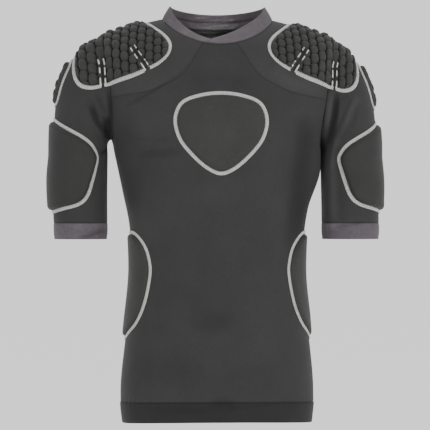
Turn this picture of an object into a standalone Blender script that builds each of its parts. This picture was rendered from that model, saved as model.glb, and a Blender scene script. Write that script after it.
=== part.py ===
"""A padded sports shirt: a close-fitting short-sleeved top with foam pads, filled out as if worn.

Metres, +Z up, the front towards -Y and the garment's left sleeve at +X. The origin lies midway
between the shoulders, at the height where the wearer's shoulders hold the cloth up.
"""

import math
from collections import namedtuple

import bmesh
import bpy
import numpy as np
from mathutils import Matrix, Vector
from mathutils.bvhtree import BVHTree
from mathutils.geometry import delaunay_2d_cdt

# Cloth thicknesses and gaps
SHELL_WALL = 0.0014
HEM_WALL = 0.0024
RIB_WALL = 0.0024
SEAM_PULL = 0.0002
PAD_LIFT = 0.0009
HEM_HEIGHT = -0.646

# The body's sections, from the hem up to the seam of the collar. Heights are given at the side
# seam, at the centre of the front and at the centre of the back.
Section = namedtuple(
    "Section", "side_height half_width front_depth back_depth front_height back_height roundness"
)
BODY = [
    Section(-0.682, 0.169, 0.112, 0.116, -0.675, -0.679, 2.25),
    Section(-0.610, 0.169, 0.112, 0.117, -0.606, -0.608, 2.25),
    Section(-0.530, 0.161, 0.108, 0.109, -0.528, -0.530, 2.25),
    Section(-0.420, 0.150, 0.103, 0.098, -0.420, -0.420, 2.25),
    Section(-0.341, 0.154, 0.106, 0.098, -0.341, -0.341, 2.25),
    Section(-0.278, 0.166, 0.114, 0.104, -0.279, -0.278, 2.25),
    Section(-0.215, 0.178, 0.122, 0.111, -0.223, -0.218, 2.25),
    Section(-0.187, 0.183, 0.123, 0.114, -0.196, -0.190, 2.25),
    Section(-0.150, 0.197, 0.122, 0.116, -0.171, -0.162, 2.30),
    Section(-0.105, 0.205, 0.119, 0.116, -0.148, -0.134, 2.35),
    Section(-0.058, 0.207, 0.115, 0.113, -0.126, -0.106, 2.40),
    Section(-0.014, 0.203, 0.109, 0.107, -0.102, -0.078, 2.40),
    Section(0.0005, 0.172, 0.102, 0.096, -0.077, -0.048, 2.30),
    Section(0.014, 0.140, 0.093, 0.081, -0.049, -0.017, 2.15),
    Section(0.025, 0.097, 0.082, 0.063, -0.022, 0.012, 2.00),
]
COLLAR_TOP = Section(0.0475, 0.084, 0.060, 0.055, -0.013, 0.037, 2.00)
UNDERARM, SHOULDER_TIP, NECKLINE = 7, 11, 14
CENTRE_FALL = 1.5
COLLAR_FALL, COLLAR_POINT = {"front": 1.6, "back": 1.5}, {"front": 0.5, "back": 0.0}
COLLAR_TURN = {"front": math.radians(9), "back": 0.0}

# The armhole and the shoulder yoke, whose seams run from the neckline to the armhole
ARMHOLE_SWEEP = {"front": math.radians(26), "back": math.radians(23)}
ARMHOLE_STEPS = 12
YOKE_STEP = 6
YOKE_NECK = {"front": 0.19, "back": 0.34}
YOKE_TURN = {"front": 4.2, "back": 3.0}
YOKE_FALL = 1.5
HALF_COLUMNS, YOKE_COLUMNS = 8, 8

# The sleeve's level rings below the armhole, for the sleeve at +X
SleeveRing = namedtuple("SleeveRing", "height centre_x centre_y half_width half_depth")
SLEEVE = [
    SleeveRing(-0.215, 0.2365, 0.000, 0.0475, 0.054),
    SleeveRing(-0.252, 0.2385, -0.001, 0.0490, 0.054),
    SleeveRing(-0.290, 0.2385, -0.003, 0.0485, 0.052),
    SleeveRing(-0.333, 0.2375, -0.006, 0.0475, 0.050),
]
CUFF_END = SleeveRing(-0.360, 0.2375, -0.007, 0.0465, 0.049)
CAP_DROOP = {"underarm": math.radians(-22), "tip": math.radians(-23)}
CAP_LEAVE, CAP_ARRIVE = 0.38, 0.46
CAP_ROWS, TUBE_ROWS = 10, 5

# How the garment hangs: the shoulders tilt up a little towards -X and the sleeves lean that way.
# Soft folds run in from the armholes and down the chest, each a trough along a line that is given
# as seen from the front.
TILT, TILT_REACH, TILT_FLOOR, TILT_CEILING = 0.0090, 0.150, -0.300, -0.100
LEAN, LEAN_BLEND, LEAN_LOW, LEAN_HIGH = 0.0040, 0.040, -0.160, -0.090
LEAN_FROM_LOW, LEAN_FROM_HIGH = 0.160, 0.195
TWIST, TWIST_TOP, TWIST_BLEND = math.radians(5.4), -0.120, 0.070
TWIST_FROM, TWIST_WIDTH = 0.178, 0.012
SPREAD_IN, SPREAD_OUT, SPREAD_END, SPREAD_FROM, SPREAD_BLEND = 0.070, 0.020, 0.060, -0.285, 0.060
NARROW_OUT = 0.030
SAG, SAG_HEIGHT, SAG_REACH = 0.0091, -0.242, 0.064
SAG_FROM, SAG_WIDTH, SAG_END, SAG_END_WIDTH = 0.130, 0.045, 0.1775, 0.005
Fold = namedtuple("Fold", "start_x start_z end_x end_z depth half_width")
FOLDS = [
    Fold(-0.224, -0.128, -0.187, -0.180, 0.0045, 0.013),
    Fold(0.197, -0.113, 0.195, -0.163, 0.0045, 0.013),
    Fold(0.195, -0.163, 0.181, -0.233, 0.0040, 0.013),
    Fold(0.131, -0.170, 0.125, -0.255, 0.0035, 0.024),
]
FOLD_FADE = 0.030

# Pads. Each border is the middle of the sewn line round a pad, in metres along and across the
# cloth; the foam ends a little inside it.
SEWN_HALF = 0.0035
SMOOTH_POINTS, CELL_POINTS, LOOP_SAMPLES = 36, 48, 400
CHEST_FOAM, RIB_FOAM, ARM_FOAM = 0.0065, 0.0055, 0.0090
SHOULDER_FOAM, OUTER_FOAM = 0.0092, 0.0080

# The rounded edge of a smooth pad: how far in from the end of the foam, and the share of its height
PadStep = namedtuple("PadStep", "inset height_share")
SMOOTH_EDGE = [PadStep(0.0, 0.30), PadStep(0.0020, 0.75), PadStep(0.0065, 1.0)]
SMOOTH_MARGIN = 0.0110

# How close points, edges of the cloth's mesh and pads may come
NEAR, SAME_PLACE, MERGE = 0.0008, 0.001, 1e-5
LONGEST_SIDE, RAY_TRIES = 0.060, 9
OFF_A_CORNER = Vector((5e-6, 9e-6, 7e-6))

# The chest pad, by distance from the centre line and height; half of it, from the top down
CHEST_CENTRE = (0.0, -0.170)
CHEST_HALF = [
    (0.000, -0.1095),
    (0.037, -0.1140),
    (0.067, -0.1270),
    (0.0785, -0.1545),
    (0.071, -0.1875),
    (0.050, -0.2150),
    (0.0245, -0.2375),
    (0.000, -0.2475),
]

# The rib pad, by distance round the side from the side seam and height; half of it
RIB_AXIS_X, RIB_RADIUS = 0.050, 0.100
RIB_CENTRE = (0.0, -0.430)
RIB_HALF = [
    (0.000, -0.3500),
    (0.038, -0.3510),
    (0.065, -0.3725),
    (0.0765, -0.4050),
    (0.0755, -0.4320),
    (0.068, -0.4680),
    (0.057, -0.4950),
    (0.039, -0.5160),
    (0.000, -0.5340),
]

# The upper-arm pad, by angle in degrees round the arm from its outside and height; half of it
ARM_AXIS, ARM_RADIUS = (0.2375, -0.003), 0.050
ARM_CENTRE = (0.0, -0.232)
ARM_HALF = [
    (0, -0.1540),
    (35, -0.1620),
    (75, -0.1780),
    (99, -0.1915),
    (113, -0.2045),
    (121, -0.2200),
    (116, -0.2400),
    (108, -0.2630),
    (100, -0.2830),
    (87, -0.2970),
    (60, -0.3055),
    (0, -0.3135),
]

# The outer-shoulder pad, by distance forwards and distance round a level line through the shoulder
OUTER_AXIS, OUTER_RADIUS = (0.195, -0.150), 0.100
OUTER_CENTRE, OUTER_HALF, OUTER_POWER = (-0.004, 0.0640), (0.025, 0.0400), 4.0

# The shoulder pad, by distance along a line under the shoulder and angle in degrees round it
SHOULDER_START, SHOULDER_ALONG = (0.085, 0.0, -0.065), (0.916, 0.0, -0.401)
SHOULDER_RADIUS, SHOULDER_NARROWING = 0.0885, 0.21
SHOULDER_BORDER = [
    (0.010, 0),
    (-0.004, 26),
    (-0.014, 47),
    (-0.015, 63),
    (-0.004, 74),
    (0.020, 80),
    (0.060, 81.5),
    (0.092, 78),
    (0.114, 73),
    (0.136, 68.5),
    (0.151, 56),
    (0.154, 37),
    (0.145, 16),
    (0.130, -6),
    (0.104, -28),
    (0.070, -38),
    (0.034, -26),
]
SLITS = [((0.046, 48), (0.037, 86)), ((0.103, 37), (0.1215, 80))]
SLIT_WIDTH, SLIT_DEPTH = 0.0040, 0.040

# Raised cells of the shoulder pads, in columns that are turned to run straight from front to back
CELL, CELL_POINT, CELL_TOP = 0.0155, 0.0010, 0.62
CELL_TURN = math.radians(-23.5)
GROOVE, CELL_EDGE, CELL_MARGIN = 0.50, 0.30, 0.0010
EDGE_FADE, EDGE_RISE = 0.012, 0.35
LEAST_CELL, LEAST_RAISED = 0.06, 0.25

# Finishes
Finish = namedtuple("Finish", "colour roughness")
BLACK_KNIT = Finish((0.030, 0.030, 0.031), 0.75)
GREY_RIB = Finish((0.115, 0.104, 0.113), 0.85)
PADDED_KNIT = Finish((0.036, 0.036, 0.035), 0.65)

SMOOTH_ANGLE = math.radians(40)

COLLECTION, CUTTERS = "padded_shirt", "cutters"


def blend(rows, at):
    """The row at a fractional place in a table, on a smooth curve through its rows."""
    last = len(rows) - 1
    low = min(int(at), last - 1)
    share = at - low
    before, start, end, after = (
        np.array(rows[min(max(k, 0), last)]) for k in (low - 1, low, low + 1, low + 2)
    )
    leave, arrive = (end - before) / 2, (after - start) / 2
    return (
        start * (1 + 2 * share) * (1 - share) ** 2
        + leave * share * (1 - share) ** 2
        + end * share**2 * (3 - 2 * share)
        + arrive * share**2 * (share - 1)
    )


def section_point(section, face, angle, fall=CENTRE_FALL, turn=0.0, point=0.0):
    """A point of a section: angle is 0 at the centre of that face and a right angle at the +X side."""
    s = Section(*section)
    depth, centre_height = (
        (-s.front_depth, s.front_height) if face == "front" else (s.back_depth, s.back_height)
    )
    power = 2 / s.roundness
    across, out = math.sin(angle), max(math.cos(angle), 0.0)
    aside = angle + turn * out
    sharp = max(1 - abs(aside) * 2 / math.pi, 0.0)
    lowest = (1 - point) * max(math.cos(aside), 0.0) ** fall + point * sharp
    return np.array(
        (
            s.half_width * math.copysign(abs(across) ** power, across),
            depth * out**power,
            s.side_height + (centre_height - s.side_height) * lowest,
        )
    )


def end_angle(face, row):
    """The angle at which a panel ends: the side seam, or the armhole's edge between underarm and tip."""
    reach = (2 * row - UNDERARM - SHOULDER_TIP) / (SHOULDER_TIP - UNDERARM)
    return math.pi / 2 - ARMHOLE_SWEEP[face] * math.sqrt(max(1 - reach * reach, 0.0))


def body_point(face, column, row):
    """A point of the body cloth: column is -1 to 1 from side to side, row counts sections."""
    return section_point(blend(BODY, row), face, column * end_angle(face, row))


def armhole_row(step):
    middle, half = (UNDERARM + SHOULDER_TIP) / 2, (SHOULDER_TIP - UNDERARM) / 2
    return middle - half * math.cos(math.pi * step / ARMHOLE_STEPS)


def yoke_place(face, step, out):
    """(column, row) on a line from the neckline to the armhole, out being the share of the way."""
    over = (step - YOKE_STEP) / (ARMHOLE_STEPS - YOKE_STEP)
    turn = YOKE_TURN[face] * (1 - over) + over
    fall = 1 - (1 - out) ** YOKE_FALL
    end_row = armhole_row(step)
    row = NECKLINE - (NECKLINE - end_row) * fall
    neck = (YOKE_NECK[face] + (1 - YOKE_NECK[face]) * over) * math.pi / 2
    angle = neck + (end_angle(face, end_row) - neck) * fall**turn
    return angle / end_angle(face, row), row


def panel_edge(face):
    """(column, row) up the +X edge of a panel: the side seam, the armhole, then the seam of the yoke."""
    edge = [(1.0, k / 2) for k in range(2 * UNDERARM + 1)]
    edge += [(1.0, armhole_row(k)) for k in range(1, YOKE_STEP)]
    return edge + [yoke_place(face, YOKE_STEP, k / YOKE_COLUMNS) for k in range(YOKE_COLUMNS, -1, -1)]


def panel_grid(face):
    """The front or the back, in level rows from the hem to the neckline."""
    shares = [k / HALF_COLUMNS for k in range(-HALF_COLUMNS, HALF_COLUMNS + 1)]
    if face == "back":
        shares.reverse()
    return np.array(
        [[body_point(face, share * end, row) for share in shares] for end, row in panel_edge(face)]
    )


def yoke_line(face, step):
    """One line of the yoke at +X, from the neckline out to the armhole."""
    return [
        body_point(face, *yoke_place(face, step, k / YOKE_COLUMNS)) for k in range(YOKE_COLUMNS + 1)
    ]


def yoke_grid():
    """The yoke at +X, in lines from the front seam over the shoulder to the back seam."""
    over = range(YOKE_STEP, ARMHOLE_STEPS + 1)
    lines = [yoke_line("front", step) for step in over]
    lines += [yoke_line("back", step) for step in reversed(over[:-1])]
    return np.array(lines)


def armhole_loop():
    """The armhole at +X, from the underarm up the back, over the tip and down the front."""
    back = [body_point("back", 1, armhole_row(k)) for k in range(ARMHOLE_STEPS + 1)]
    front = [body_point("front", 1, armhole_row(k)) for k in range(ARMHOLE_STEPS - 1, 0, -1)]
    return np.array(back + front)


def ring_points(ring, angles):
    """A level ring of the sleeve: angle 0 faces the body, a right angle the back, pi the outside."""
    r = SleeveRing(*ring)
    return np.stack(
        (
            r.centre_x - r.half_width * np.cos(angles),
            r.centre_y + r.half_depth * np.sin(angles),
            np.full(len(angles), r.height),
        ),
        axis=1,
    )


def sleeve_angles(loop):
    """Where each point of the armhole goes round the arm, by its share of the way along the edge."""
    ends = np.vstack((loop, loop[:1]))
    along = np.concatenate(([0], np.cumsum(np.linalg.norm(np.diff(ends, axis=0), axis=1))))
    half = along[ARMHOLE_STEPS]
    up = math.pi * along[: ARMHOLE_STEPS + 1] / half
    down = math.pi + math.pi * (along[ARMHOLE_STEPS + 1 : -1] - half) / (along[-1] - half)
    return np.concatenate((up, down))


def sleeve_grid():
    """The sleeve at +X, in rings from the armhole to the seam of the cuff."""
    loop = armhole_loop()
    angles = sleeve_angles(loop)
    arm = ring_points(SLEEVE[0], angles)
    outward = ((1 - np.cos(angles)) / 2)[:, None]
    droop = CAP_DROOP["underarm"] * (1 - outward) + CAP_DROOP["tip"] * outward
    leave = np.hstack((np.cos(droop), np.zeros_like(droop), np.sin(droop)))
    reach = np.linalg.norm(arm - loop, axis=1)[:, None]
    first = loop + leave * reach * CAP_LEAVE
    second = arm + np.array((0, 0, 1)) * reach * CAP_ARRIVE
    rows = []
    for k in range(CAP_ROWS):
        t = k / CAP_ROWS
        rows.append(
            loop * (1 - t) ** 3 + first * 3 * t * (1 - t) ** 2 + second * 3 * t * t * (1 - t) + arm * t**3
        )
    for k in range(TUBE_ROWS + 1):
        rows.append(ring_points(blend(SLEEVE, (len(SLEEVE) - 1) * k / TUBE_ROWS), angles))
    return np.array(rows)


def cuff_grid():
    angles = sleeve_angles(armhole_loop())
    return np.array([ring_points(blend([SLEEVE[-1], CUFF_END], t), angles) for t in (0, 0.5, 1)])


def neck_places():
    """(face, angle) round the neckline, from the centre front by the +X side to the back and on."""
    right = []
    for face in ("front", "back"):
        neck, steps = YOKE_NECK[face], ARMHOLE_STEPS - YOKE_STEP
        columns = [neck * k / HALF_COLUMNS for k in range(HALF_COLUMNS)]
        columns += [neck + (1 - neck) * k / steps for k in range(steps + 1)]
        places = [(face, column * math.pi / 2) for column in columns]
        right += places if face == "front" else places[-2::-1]
    return right + [(face, -angle) for face, angle in right[-2:0:-1]]


def collar_grid():
    """The collar's band, from the neckline up to its folded top edge, which falls to a V in front."""
    places = neck_places()
    base = np.array([section_point(BODY[NECKLINE], face, angle) for face, angle in places])
    top = np.array(
        [
            section_point(COLLAR_TOP, face, angle, COLLAR_FALL[face], COLLAR_TURN[face], COLLAR_POINT[face])
            for face, angle in places
        ]
    )
    return np.array([base * (1 - share) + top * share for share in (0, 0.5, 1)])


def mirrored(grid):
    """The same grid on the other side, with its lines turned so that it still faces out."""
    return grid[:, ::-1] * np.array((-1, 1, 1))


def wrapped(grid, closed):
    return np.concatenate((grid, grid[:, :1]), axis=1) if closed else grid


def shared_normals(grids, closed):
    """Normals of all the grids together, so that panels that meet are moved in the same way."""
    points = np.concatenate([g.reshape(-1, 3) for g in grids.values()])
    _, shared = np.unique(np.round(points, 6), axis=0, return_inverse=True)
    shared = shared.reshape(-1)
    total = np.zeros((shared.max() + 1, 3))
    start, places = 0, {}
    for name, grid in grids.items():
        rows, columns = grid.shape[:2]
        index = shared[start : start + rows * columns].reshape(rows, columns)
        places[name] = index
        start += rows * columns
        p, i = wrapped(grid, name in closed), wrapped(index[:, :, None], name in closed)[:, :, 0]
        normal = np.cross(p[1:, 1:] - p[:-1, :-1], p[1:, :-1] - p[:-1, 1:])
        for corner in (i[:-1, :-1], i[:-1, 1:], i[1:, :-1], i[1:, 1:]):
            np.add.at(total, corner.reshape(-1), normal.reshape(-1, 3))
    total /= np.linalg.norm(total, axis=1)[:, None]
    return {name: total[index] for name, index in places.items()}


def edge_loops(rows, columns, closed):
    """The grid places along each open edge, in an order that keeps the cloth on the left."""
    if closed:
        return [
            [(0, j) for j in range(columns)],
            [(rows - 1, j) for j in range(columns - 1, -1, -1)],
        ]
    loop = [(0, j) for j in range(columns - 1)]
    loop += [(i, columns - 1) for i in range(rows - 1)]
    loop += [(rows - 1, j) for j in range(columns - 1, 0, -1)]
    loop += [(i, 0) for i in range(rows - 1, 0, -1)]
    return [loop]


def pulled_in(grid, closed):
    """The grid with its open edges drawn back square to themselves, which leaves the gap of a seam."""
    drawn = grid.copy()
    normals = shared_normals({"own": grid}, {"own"} if closed else set())["own"]
    for loop in edge_loops(*grid.shape[:2], closed):
        place = tuple(np.array(loop).T)
        edge = grid[place]
        along = np.roll(edge, -1, axis=0) - np.roll(edge, 1, axis=0)
        inward = np.cross(normals[place], along)
        drawn[place] += SEAM_PULL * inward / np.linalg.norm(inward, axis=1)[:, None]
    return drawn


def smooth_step(share):
    share = min(max(share, 0.0), 1.0)
    return share * share * (3 - 2 * share)


def as_worn(point):
    """Where a point of the even cut goes when worn: leaning, twisted at the arms, fuller at +X, folded."""
    x, y, z = point
    raised = smooth_step((z - LEAN_LOW) / (LEAN_HIGH - LEAN_LOW))
    lean_from = LEAN_FROM_LOW + (LEAN_FROM_HIGH - LEAN_FROM_LOW) * raised
    upper = smooth_step((z - TILT_FLOOR) / (TILT_CEILING - TILT_FLOOR))
    z -= TILT * x * smooth_step(abs(x) / TILT_REACH) * upper
    x -= LEAN * smooth_step((abs(x) - lean_from) / LEAN_BLEND)
    sleeve = smooth_step((abs(x) - TWIST_FROM) / TWIST_WIDTH) * smooth_step((TWIST_TOP - z) / TWIST_BLEND)
    twist = TWIST * sleeve
    out_x, out_y = x - math.copysign(ARM_AXIS[0], x) + LEAN, y - ARM_AXIS[1]
    x += out_x * (math.cos(twist) - 1) - out_y * math.sin(twist)
    y += out_y * (math.cos(twist) - 1) + out_x * math.sin(twist)
    if x > 0:
        outer = SPREAD_OUT + SPREAD_END * smooth_step((SPREAD_FROM - z) / SPREAD_BLEND)
        x += out_x * sleeve * (SPREAD_IN if out_x < 0 else outer)
    elif out_x < 0:
        x -= out_x * sleeve * NARROW_OUT
    side = smooth_step((x - SAG_FROM) / SAG_WIDTH) * (1 - smooth_step((x - SAG_END) / SAG_END_WIDTH))
    x += SAG * side * max(1 - ((z - SAG_HEIGHT) / SAG_REACH) ** 2, 0.0) ** 2
    sunk = 0.0
    for fold in FOLDS:
        start = Vector((fold.start_x, fold.start_z))
        line = Vector((fold.end_x, fold.end_z)) - start
        gap = Vector((x, z)) - start
        share = min(max(gap.dot(line) / line.length_squared, 0.0), 1.0)
        apart = (gap - line * share).length / fold.half_width
        sunk = max(sunk, fold.depth * max(1 - apart * apart, 0.0) ** 2)
    return Vector((x, y + sunk * smooth_step(-y / FOLD_FADE), z))


def finished(name, finish):
    """A knitted cloth's material."""
    material = bpy.data.materials.new(name)
    material.use_nodes = True
    shader = material.node_tree.nodes["Principled BSDF"]
    shader.inputs["Base Color"].default_value = (*finish.colour, 1)
    shader.inputs["Roughness"].default_value = finish.roughness
    shader.inputs["Metallic"].default_value = 0.0
    material.diffuse_color = (*finish.colour, 1)
    return material


def worn_mesh(name, bm):
    """The mesh of a piece, brought from the even cut to how it is worn."""
    for vertex in bm.verts:
        vertex.co = as_worn(vertex.co)
    bmesh.ops.recalc_face_normals(bm, faces=bm.faces)
    mesh = bpy.data.meshes.new(name)
    bm.to_mesh(mesh)
    bm.free()
    return mesh


def make_object(name, bm, finish):
    mesh = worn_mesh(name, bm)
    mesh.materials.append(finished(name, finish))
    mesh.shade_smooth()
    mesh.set_sharp_from_angle(angle=SMOOTH_ANGLE)
    obj = bpy.data.objects.new(name, mesh)
    bpy.data.collections[COLLECTION].objects.link(obj)
    return obj


def grid_triangles(grid, closed):
    """Triangles through a grid, as places in its flattened points; each quad is split the short way."""
    rows, columns = grid.shape[:2]
    flat = grid.reshape(-1, 3)
    faces = []
    for i in range(rows - 1):
        for j in range(columns if closed else columns - 1):
            a, b = i * columns + j, i * columns + (j + 1) % columns
            c, d = b + columns, a + columns
            if np.linalg.norm(flat[a] - flat[c]) < np.linalg.norm(flat[b] - flat[d]):
                faces += [(a, b, c), (a, c, d)]
            else:
                faces += [(a, b, d), (b, c, d)]
    return faces


def join_loops(bm, outer, inner):
    """A rim between two matching closed loops, split the short way so that facing rims stay apart."""
    count = len(outer)
    for j in range(count):
        k = (j + 1) % count
        if (outer[j].co - inner[k].co).length < (outer[k].co - inner[j].co).length:
            bm.faces.new((outer[j], outer[k], inner[k]))
            bm.faces.new((outer[j], inner[k], inner[j]))
        else:
            bm.faces.new((outer[j], outer[k], inner[j]))
            bm.faces.new((outer[k], inner[k], inner[j]))


def cloth_wall(name, grid, normals, wall, finish, closed):
    """A wall of cloth: its outside on the grid, its inside that far in, and a rim on the open edges."""
    outside = pulled_in(grid, closed)
    bm = bmesh.new()
    faces = grid_triangles(grid, closed)
    layers = []
    for layer in (outside, outside - normals * wall[..., None]):
        vertices = [bm.verts.new(point) for point in layer.reshape(-1, 3)]
        for face in faces:
            bm.faces.new([vertices[k] for k in face])
        layers.append(vertices)
    columns = grid.shape[1]
    for loop in edge_loops(*grid.shape[:2], closed):
        join_loops(bm, *([layer[i * columns + j] for i, j in loop] for layer in layers))
    return make_object(name, bm, finish)


def smooth_loop(rows, count):
    """Evenly spaced points of a closed smooth curve through the rows."""
    rows = np.array(rows, float)
    size = len(rows)
    turn = [rows[k % size] for k in range(-1, size + 2)]
    fine = np.array([blend(turn, 1 + size * k / LOOP_SAMPLES) for k in range(LOOP_SAMPLES)])
    ends = np.vstack((fine, fine[:1]))
    along = np.concatenate(([0], np.cumsum(np.linalg.norm(np.diff(ends, axis=0), axis=1))))
    wanted = np.linspace(0, along[-1], count, endpoint=False)
    return np.stack([np.interp(wanted, along, ends[:, k]) for k in (0, 1)], axis=1)


def rounded_loop(centre, half, power, count):
    """A rounded rectangle, anticlockwise."""
    turns = np.linspace(0, 2 * math.pi, count, endpoint=False)
    waves = (np.cos(turns), np.sin(turns))
    unit = np.stack([np.sign(w) * np.abs(w) ** (2 / power) for w in waves], axis=1)
    return np.array(centre) + unit * np.array(half)


def both_halves(half):
    return half + [(-across, height) for across, height in half[-2:0:-1]]


def inset(loop, centre, distance):
    """The loop drawn towards its centre by a distance."""
    out = loop - np.array(centre)
    length = np.linalg.norm(out, axis=1)[:, None]
    return np.array(centre) + out * (1 - distance / length)


# Charts give a pad flat coordinates: a ray out through the cloth for each, and the way back
class ChestChart:
    """Distance from the centre line, and height."""

    def ray(self, across, height):
        return Vector((across, 0, height)), Vector((0, -1, 0))

    def flat(self, point):
        return point.x, point.z


class AroundChart:
    """Distance round an upright line, from its +X side towards the front, and height."""

    def __init__(self, axis, radius):
        self.axis, self.radius = axis, radius

    def ray(self, around, height):
        angle = around / self.radius
        return Vector((*self.axis, height)), Vector((math.cos(angle), -math.sin(angle), 0))

    def flat(self, point):
        angle = math.atan2(self.axis[1] - point.y, point.x - self.axis[0])
        return self.radius * angle, point.z


class OverChart:
    """Distance forwards, and distance up round a level line from front to back."""

    def __init__(self, axis, radius):
        self.axis, self.radius = axis, radius

    def ray(self, forwards, around):
        angle = around / self.radius
        origin = Vector((self.axis[0], -forwards, self.axis[1]))
        return origin, Vector((math.cos(angle), 0, math.sin(angle)))

    def flat(self, point):
        angle = math.atan2(point.z - self.axis[1], point.x - self.axis[0])
        return -point.y, self.radius * angle


class ShoulderChart:
    """Distance along a line under the shoulder, and distance from the ridge towards the front."""

    def __init__(self):
        self.start = Vector(SHOULDER_START)
        self.line = Vector(SHOULDER_ALONG).normalized()
        self.up = Vector((-self.line.z, 0, self.line.x))

    def place(self, along, degrees):
        return along, math.radians(degrees) * self.radius(along)

    def radius(self, along):
        return SHOULDER_RADIUS - SHOULDER_NARROWING * along

    def ray(self, along, around):
        angle = around / self.radius(along)
        direction = self.up * math.cos(angle) - Vector((0, math.sin(angle), 0))
        return self.start + self.line * along, direction

    def flat(self, point):
        reach = point - self.start
        along = reach.dot(self.line)
        return along, self.radius(along) * math.atan2(-reach.y, reach.dot(self.up))


def edge_distance(loop, point):
    """The distance from a point to a closed loop of short straight steps."""
    step = np.roll(loop, -1, axis=0) - loop
    share = np.clip(((point - loop) * step).sum(axis=1) / (step**2).sum(axis=1), 0, 1)
    return np.linalg.norm(loop + step * share[:, None] - point, axis=1).min()


def is_inside(loop, point):
    after = np.roll(loop, -1, axis=0)
    crossing = (loop[:, 1] > point[1]) != (after[:, 1] > point[1])
    a, b = loop[crossing], after[crossing]
    reach = a[:, 0] + (b[:, 0] - a[:, 0]) * (point[1] - a[:, 1]) / (b[:, 1] - a[:, 1])
    return np.count_nonzero(reach > point[0]) % 2 == 1


def crossing(start, end, a, b):
    """How far along start to end the line from a to b crosses it, or None."""
    step, line, gap = end - start, b - a, a - start
    slant = step[0] * line[1] - step[1] * line[0]
    along = (gap[0] * line[1] - gap[1] * line[0]) / slant if slant else -1
    across = (gap[0] * step[1] - gap[1] * step[0]) / slant if slant else -1
    return along if 0 < along < 1 and 0 < across < 1 else None


class Cover:
    """The cloth under a pad: it places points on the cloth, or that far above it."""

    def __init__(self, cloth, chart):
        self.chart, self.points, faces = chart, [], []
        for grid, closed in cloth:
            start = len(self.points)
            self.points += [Vector(p) for p in grid.reshape(-1, 3)]
            faces += [tuple(start + k for k in face) for face in grid_triangles(grid, closed)]
        self.tree = BVHTree.FromPolygons(self.points, faces)
        self.flat = np.array([chart.flat(point) for point in self.points])
        self.sides = sorted({tuple(sorted(pair)) for f in faces for pair in zip(f, f[1:] + f[:1])})

    def place(self, at, above):
        origin, direction = self.chart.ray(*at)
        hits = (self.tree.ray_cast(origin + OFF_A_CORNER * k, direction)[0] for k in range(RAY_TRIES))
        return next(hit for hit in hits if hit) + direction * (PAD_LIFT + above)

    def inside(self, loop):
        """Numbers of the cloth's own points that a pad with this loop lies on."""
        return {
            k
            for k, at in enumerate(self.flat)
            if is_inside(loop, at) and (self.place(at, -PAD_LIFT) - self.points[k]).length < SAME_PLACE
        }

    def mesh_within(self, loop, margin):
        """Flat places of the cloth's points at least a margin inside a loop, and lines between them."""
        kept = sorted(k for k in self.inside(loop) if edge_distance(loop, self.flat[k]) > margin)
        order = {k: n for n, k in enumerate(kept)}
        lines = [(order[a], order[b]) for a, b in self.sides if a in order and b in order]
        return self.flat[kept], lines

    def fitted(self, loop):
        """The loop with a point wherever an edge of the cloth's mesh runs out under it, and those edges."""
        inside = self.inside(loop)
        stops = [(k, at, None) for k, at in enumerate(loop)]
        for a, b in self.sides:
            if (a in inside) == (b in inside) or np.linalg.norm(self.flat[a] - self.flat[b]) > LONGEST_SIDE:
                continue
            hub = self.flat[a if a in inside else b]
            for k, (start, end) in enumerate(zip(loop, np.roll(loop, -1, axis=0))):
                along = crossing(start, end, self.flat[a], self.flat[b])
                if along is None:
                    continue
                slack = NEAR / np.linalg.norm(end - start)
                along = 0 if along < slack else 1 if along > 1 - slack else along
                stops.append(((k + along) % len(loop), start + (end - start) * along, hub))
        fitted, spokes = [], []
        for _, at, hub in sorted(stops, key=lambda stop: stop[0]):
            if not fitted or np.linalg.norm(at - fitted[-1]) > NEAR / 2:
                fitted.append(at)
            if hub is not None and np.linalg.norm(fitted[-1] - hub) > NEAR:
                spokes.append((hub, fitted[-1]))
        return np.array(fitted), spokes


class Sheet:
    """Points with heights and lines between them, which become a sheet of triangles inside a loop."""

    def __init__(self, loop, height):
        self.points = [Vector(p) for p in loop]
        self.heights = [height] * len(loop)
        self.lines = []
        self.loop = list(range(len(loop)))

    def add(self, places, lines, height):
        start = len(self.points)
        self.points += [Vector(p) for p in places]
        self.heights += [height] * len(places)
        self.lines += [(start + a, start + b) for a, b in lines]

    def add_loop(self, polygon, height):
        size = len(polygon)
        self.add(polygon, [(k, (k + 1) % size) for k in range(size)], height)

    def build(self, bm, cover, other_height):
        """Adds the sheet to a mesh, and gives back the vertices of its loop."""
        points, _, faces, origins, _, _ = delaunay_2d_cdt(
            self.points, self.lines, [self.loop], 1, MERGE
        )
        heights = [min((self.heights[k] for k in o), default=other_height) for o in origins]
        vertices = [bm.verts.new(cover.place(p, h)) for p, h in zip(points, heights)]
        for face in faces:
            bm.faces.new([vertices[k] for k in face])
        place = {k: n for n, origin in enumerate(origins) for k in origin}
        return [vertices[place[k]] for k in self.loop]


def pad_mesh(cover, top, edge, spokes, groove):
    """A pad between its top sheet and an inside made from the points of the cloth."""
    base = Sheet(edge, 0.0)
    base.add(*cover.mesh_within(edge, NEAR / 4), 0.0)
    for spoke in spokes:
        base.add(spoke, [(0, 1)], 0.0)
    bm = bmesh.new()
    join_loops(bm, top.build(bm, cover, groove), base.build(bm, cover, 0.0))
    bmesh.ops.remove_doubles(bm, verts=bm.verts, dist=NEAR / 4)
    return bm


def smooth_pad(cover, border, centre, foam):
    """A plain pad with rounded edges."""
    loop = inset(border, centre, SEWN_HALF)
    edge, spokes = cover.fitted(loop)
    top = Sheet(edge, SMOOTH_EDGE[0].height_share * foam)
    for step in SMOOTH_EDGE[1:]:
        top.add_loop(inset(loop, centre, step.inset), step.height_share * foam)
    top.add(*cover.mesh_within(loop, SMOOTH_MARGIN), foam)
    return pad_mesh(cover, top, edge, spokes, foam)


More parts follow.
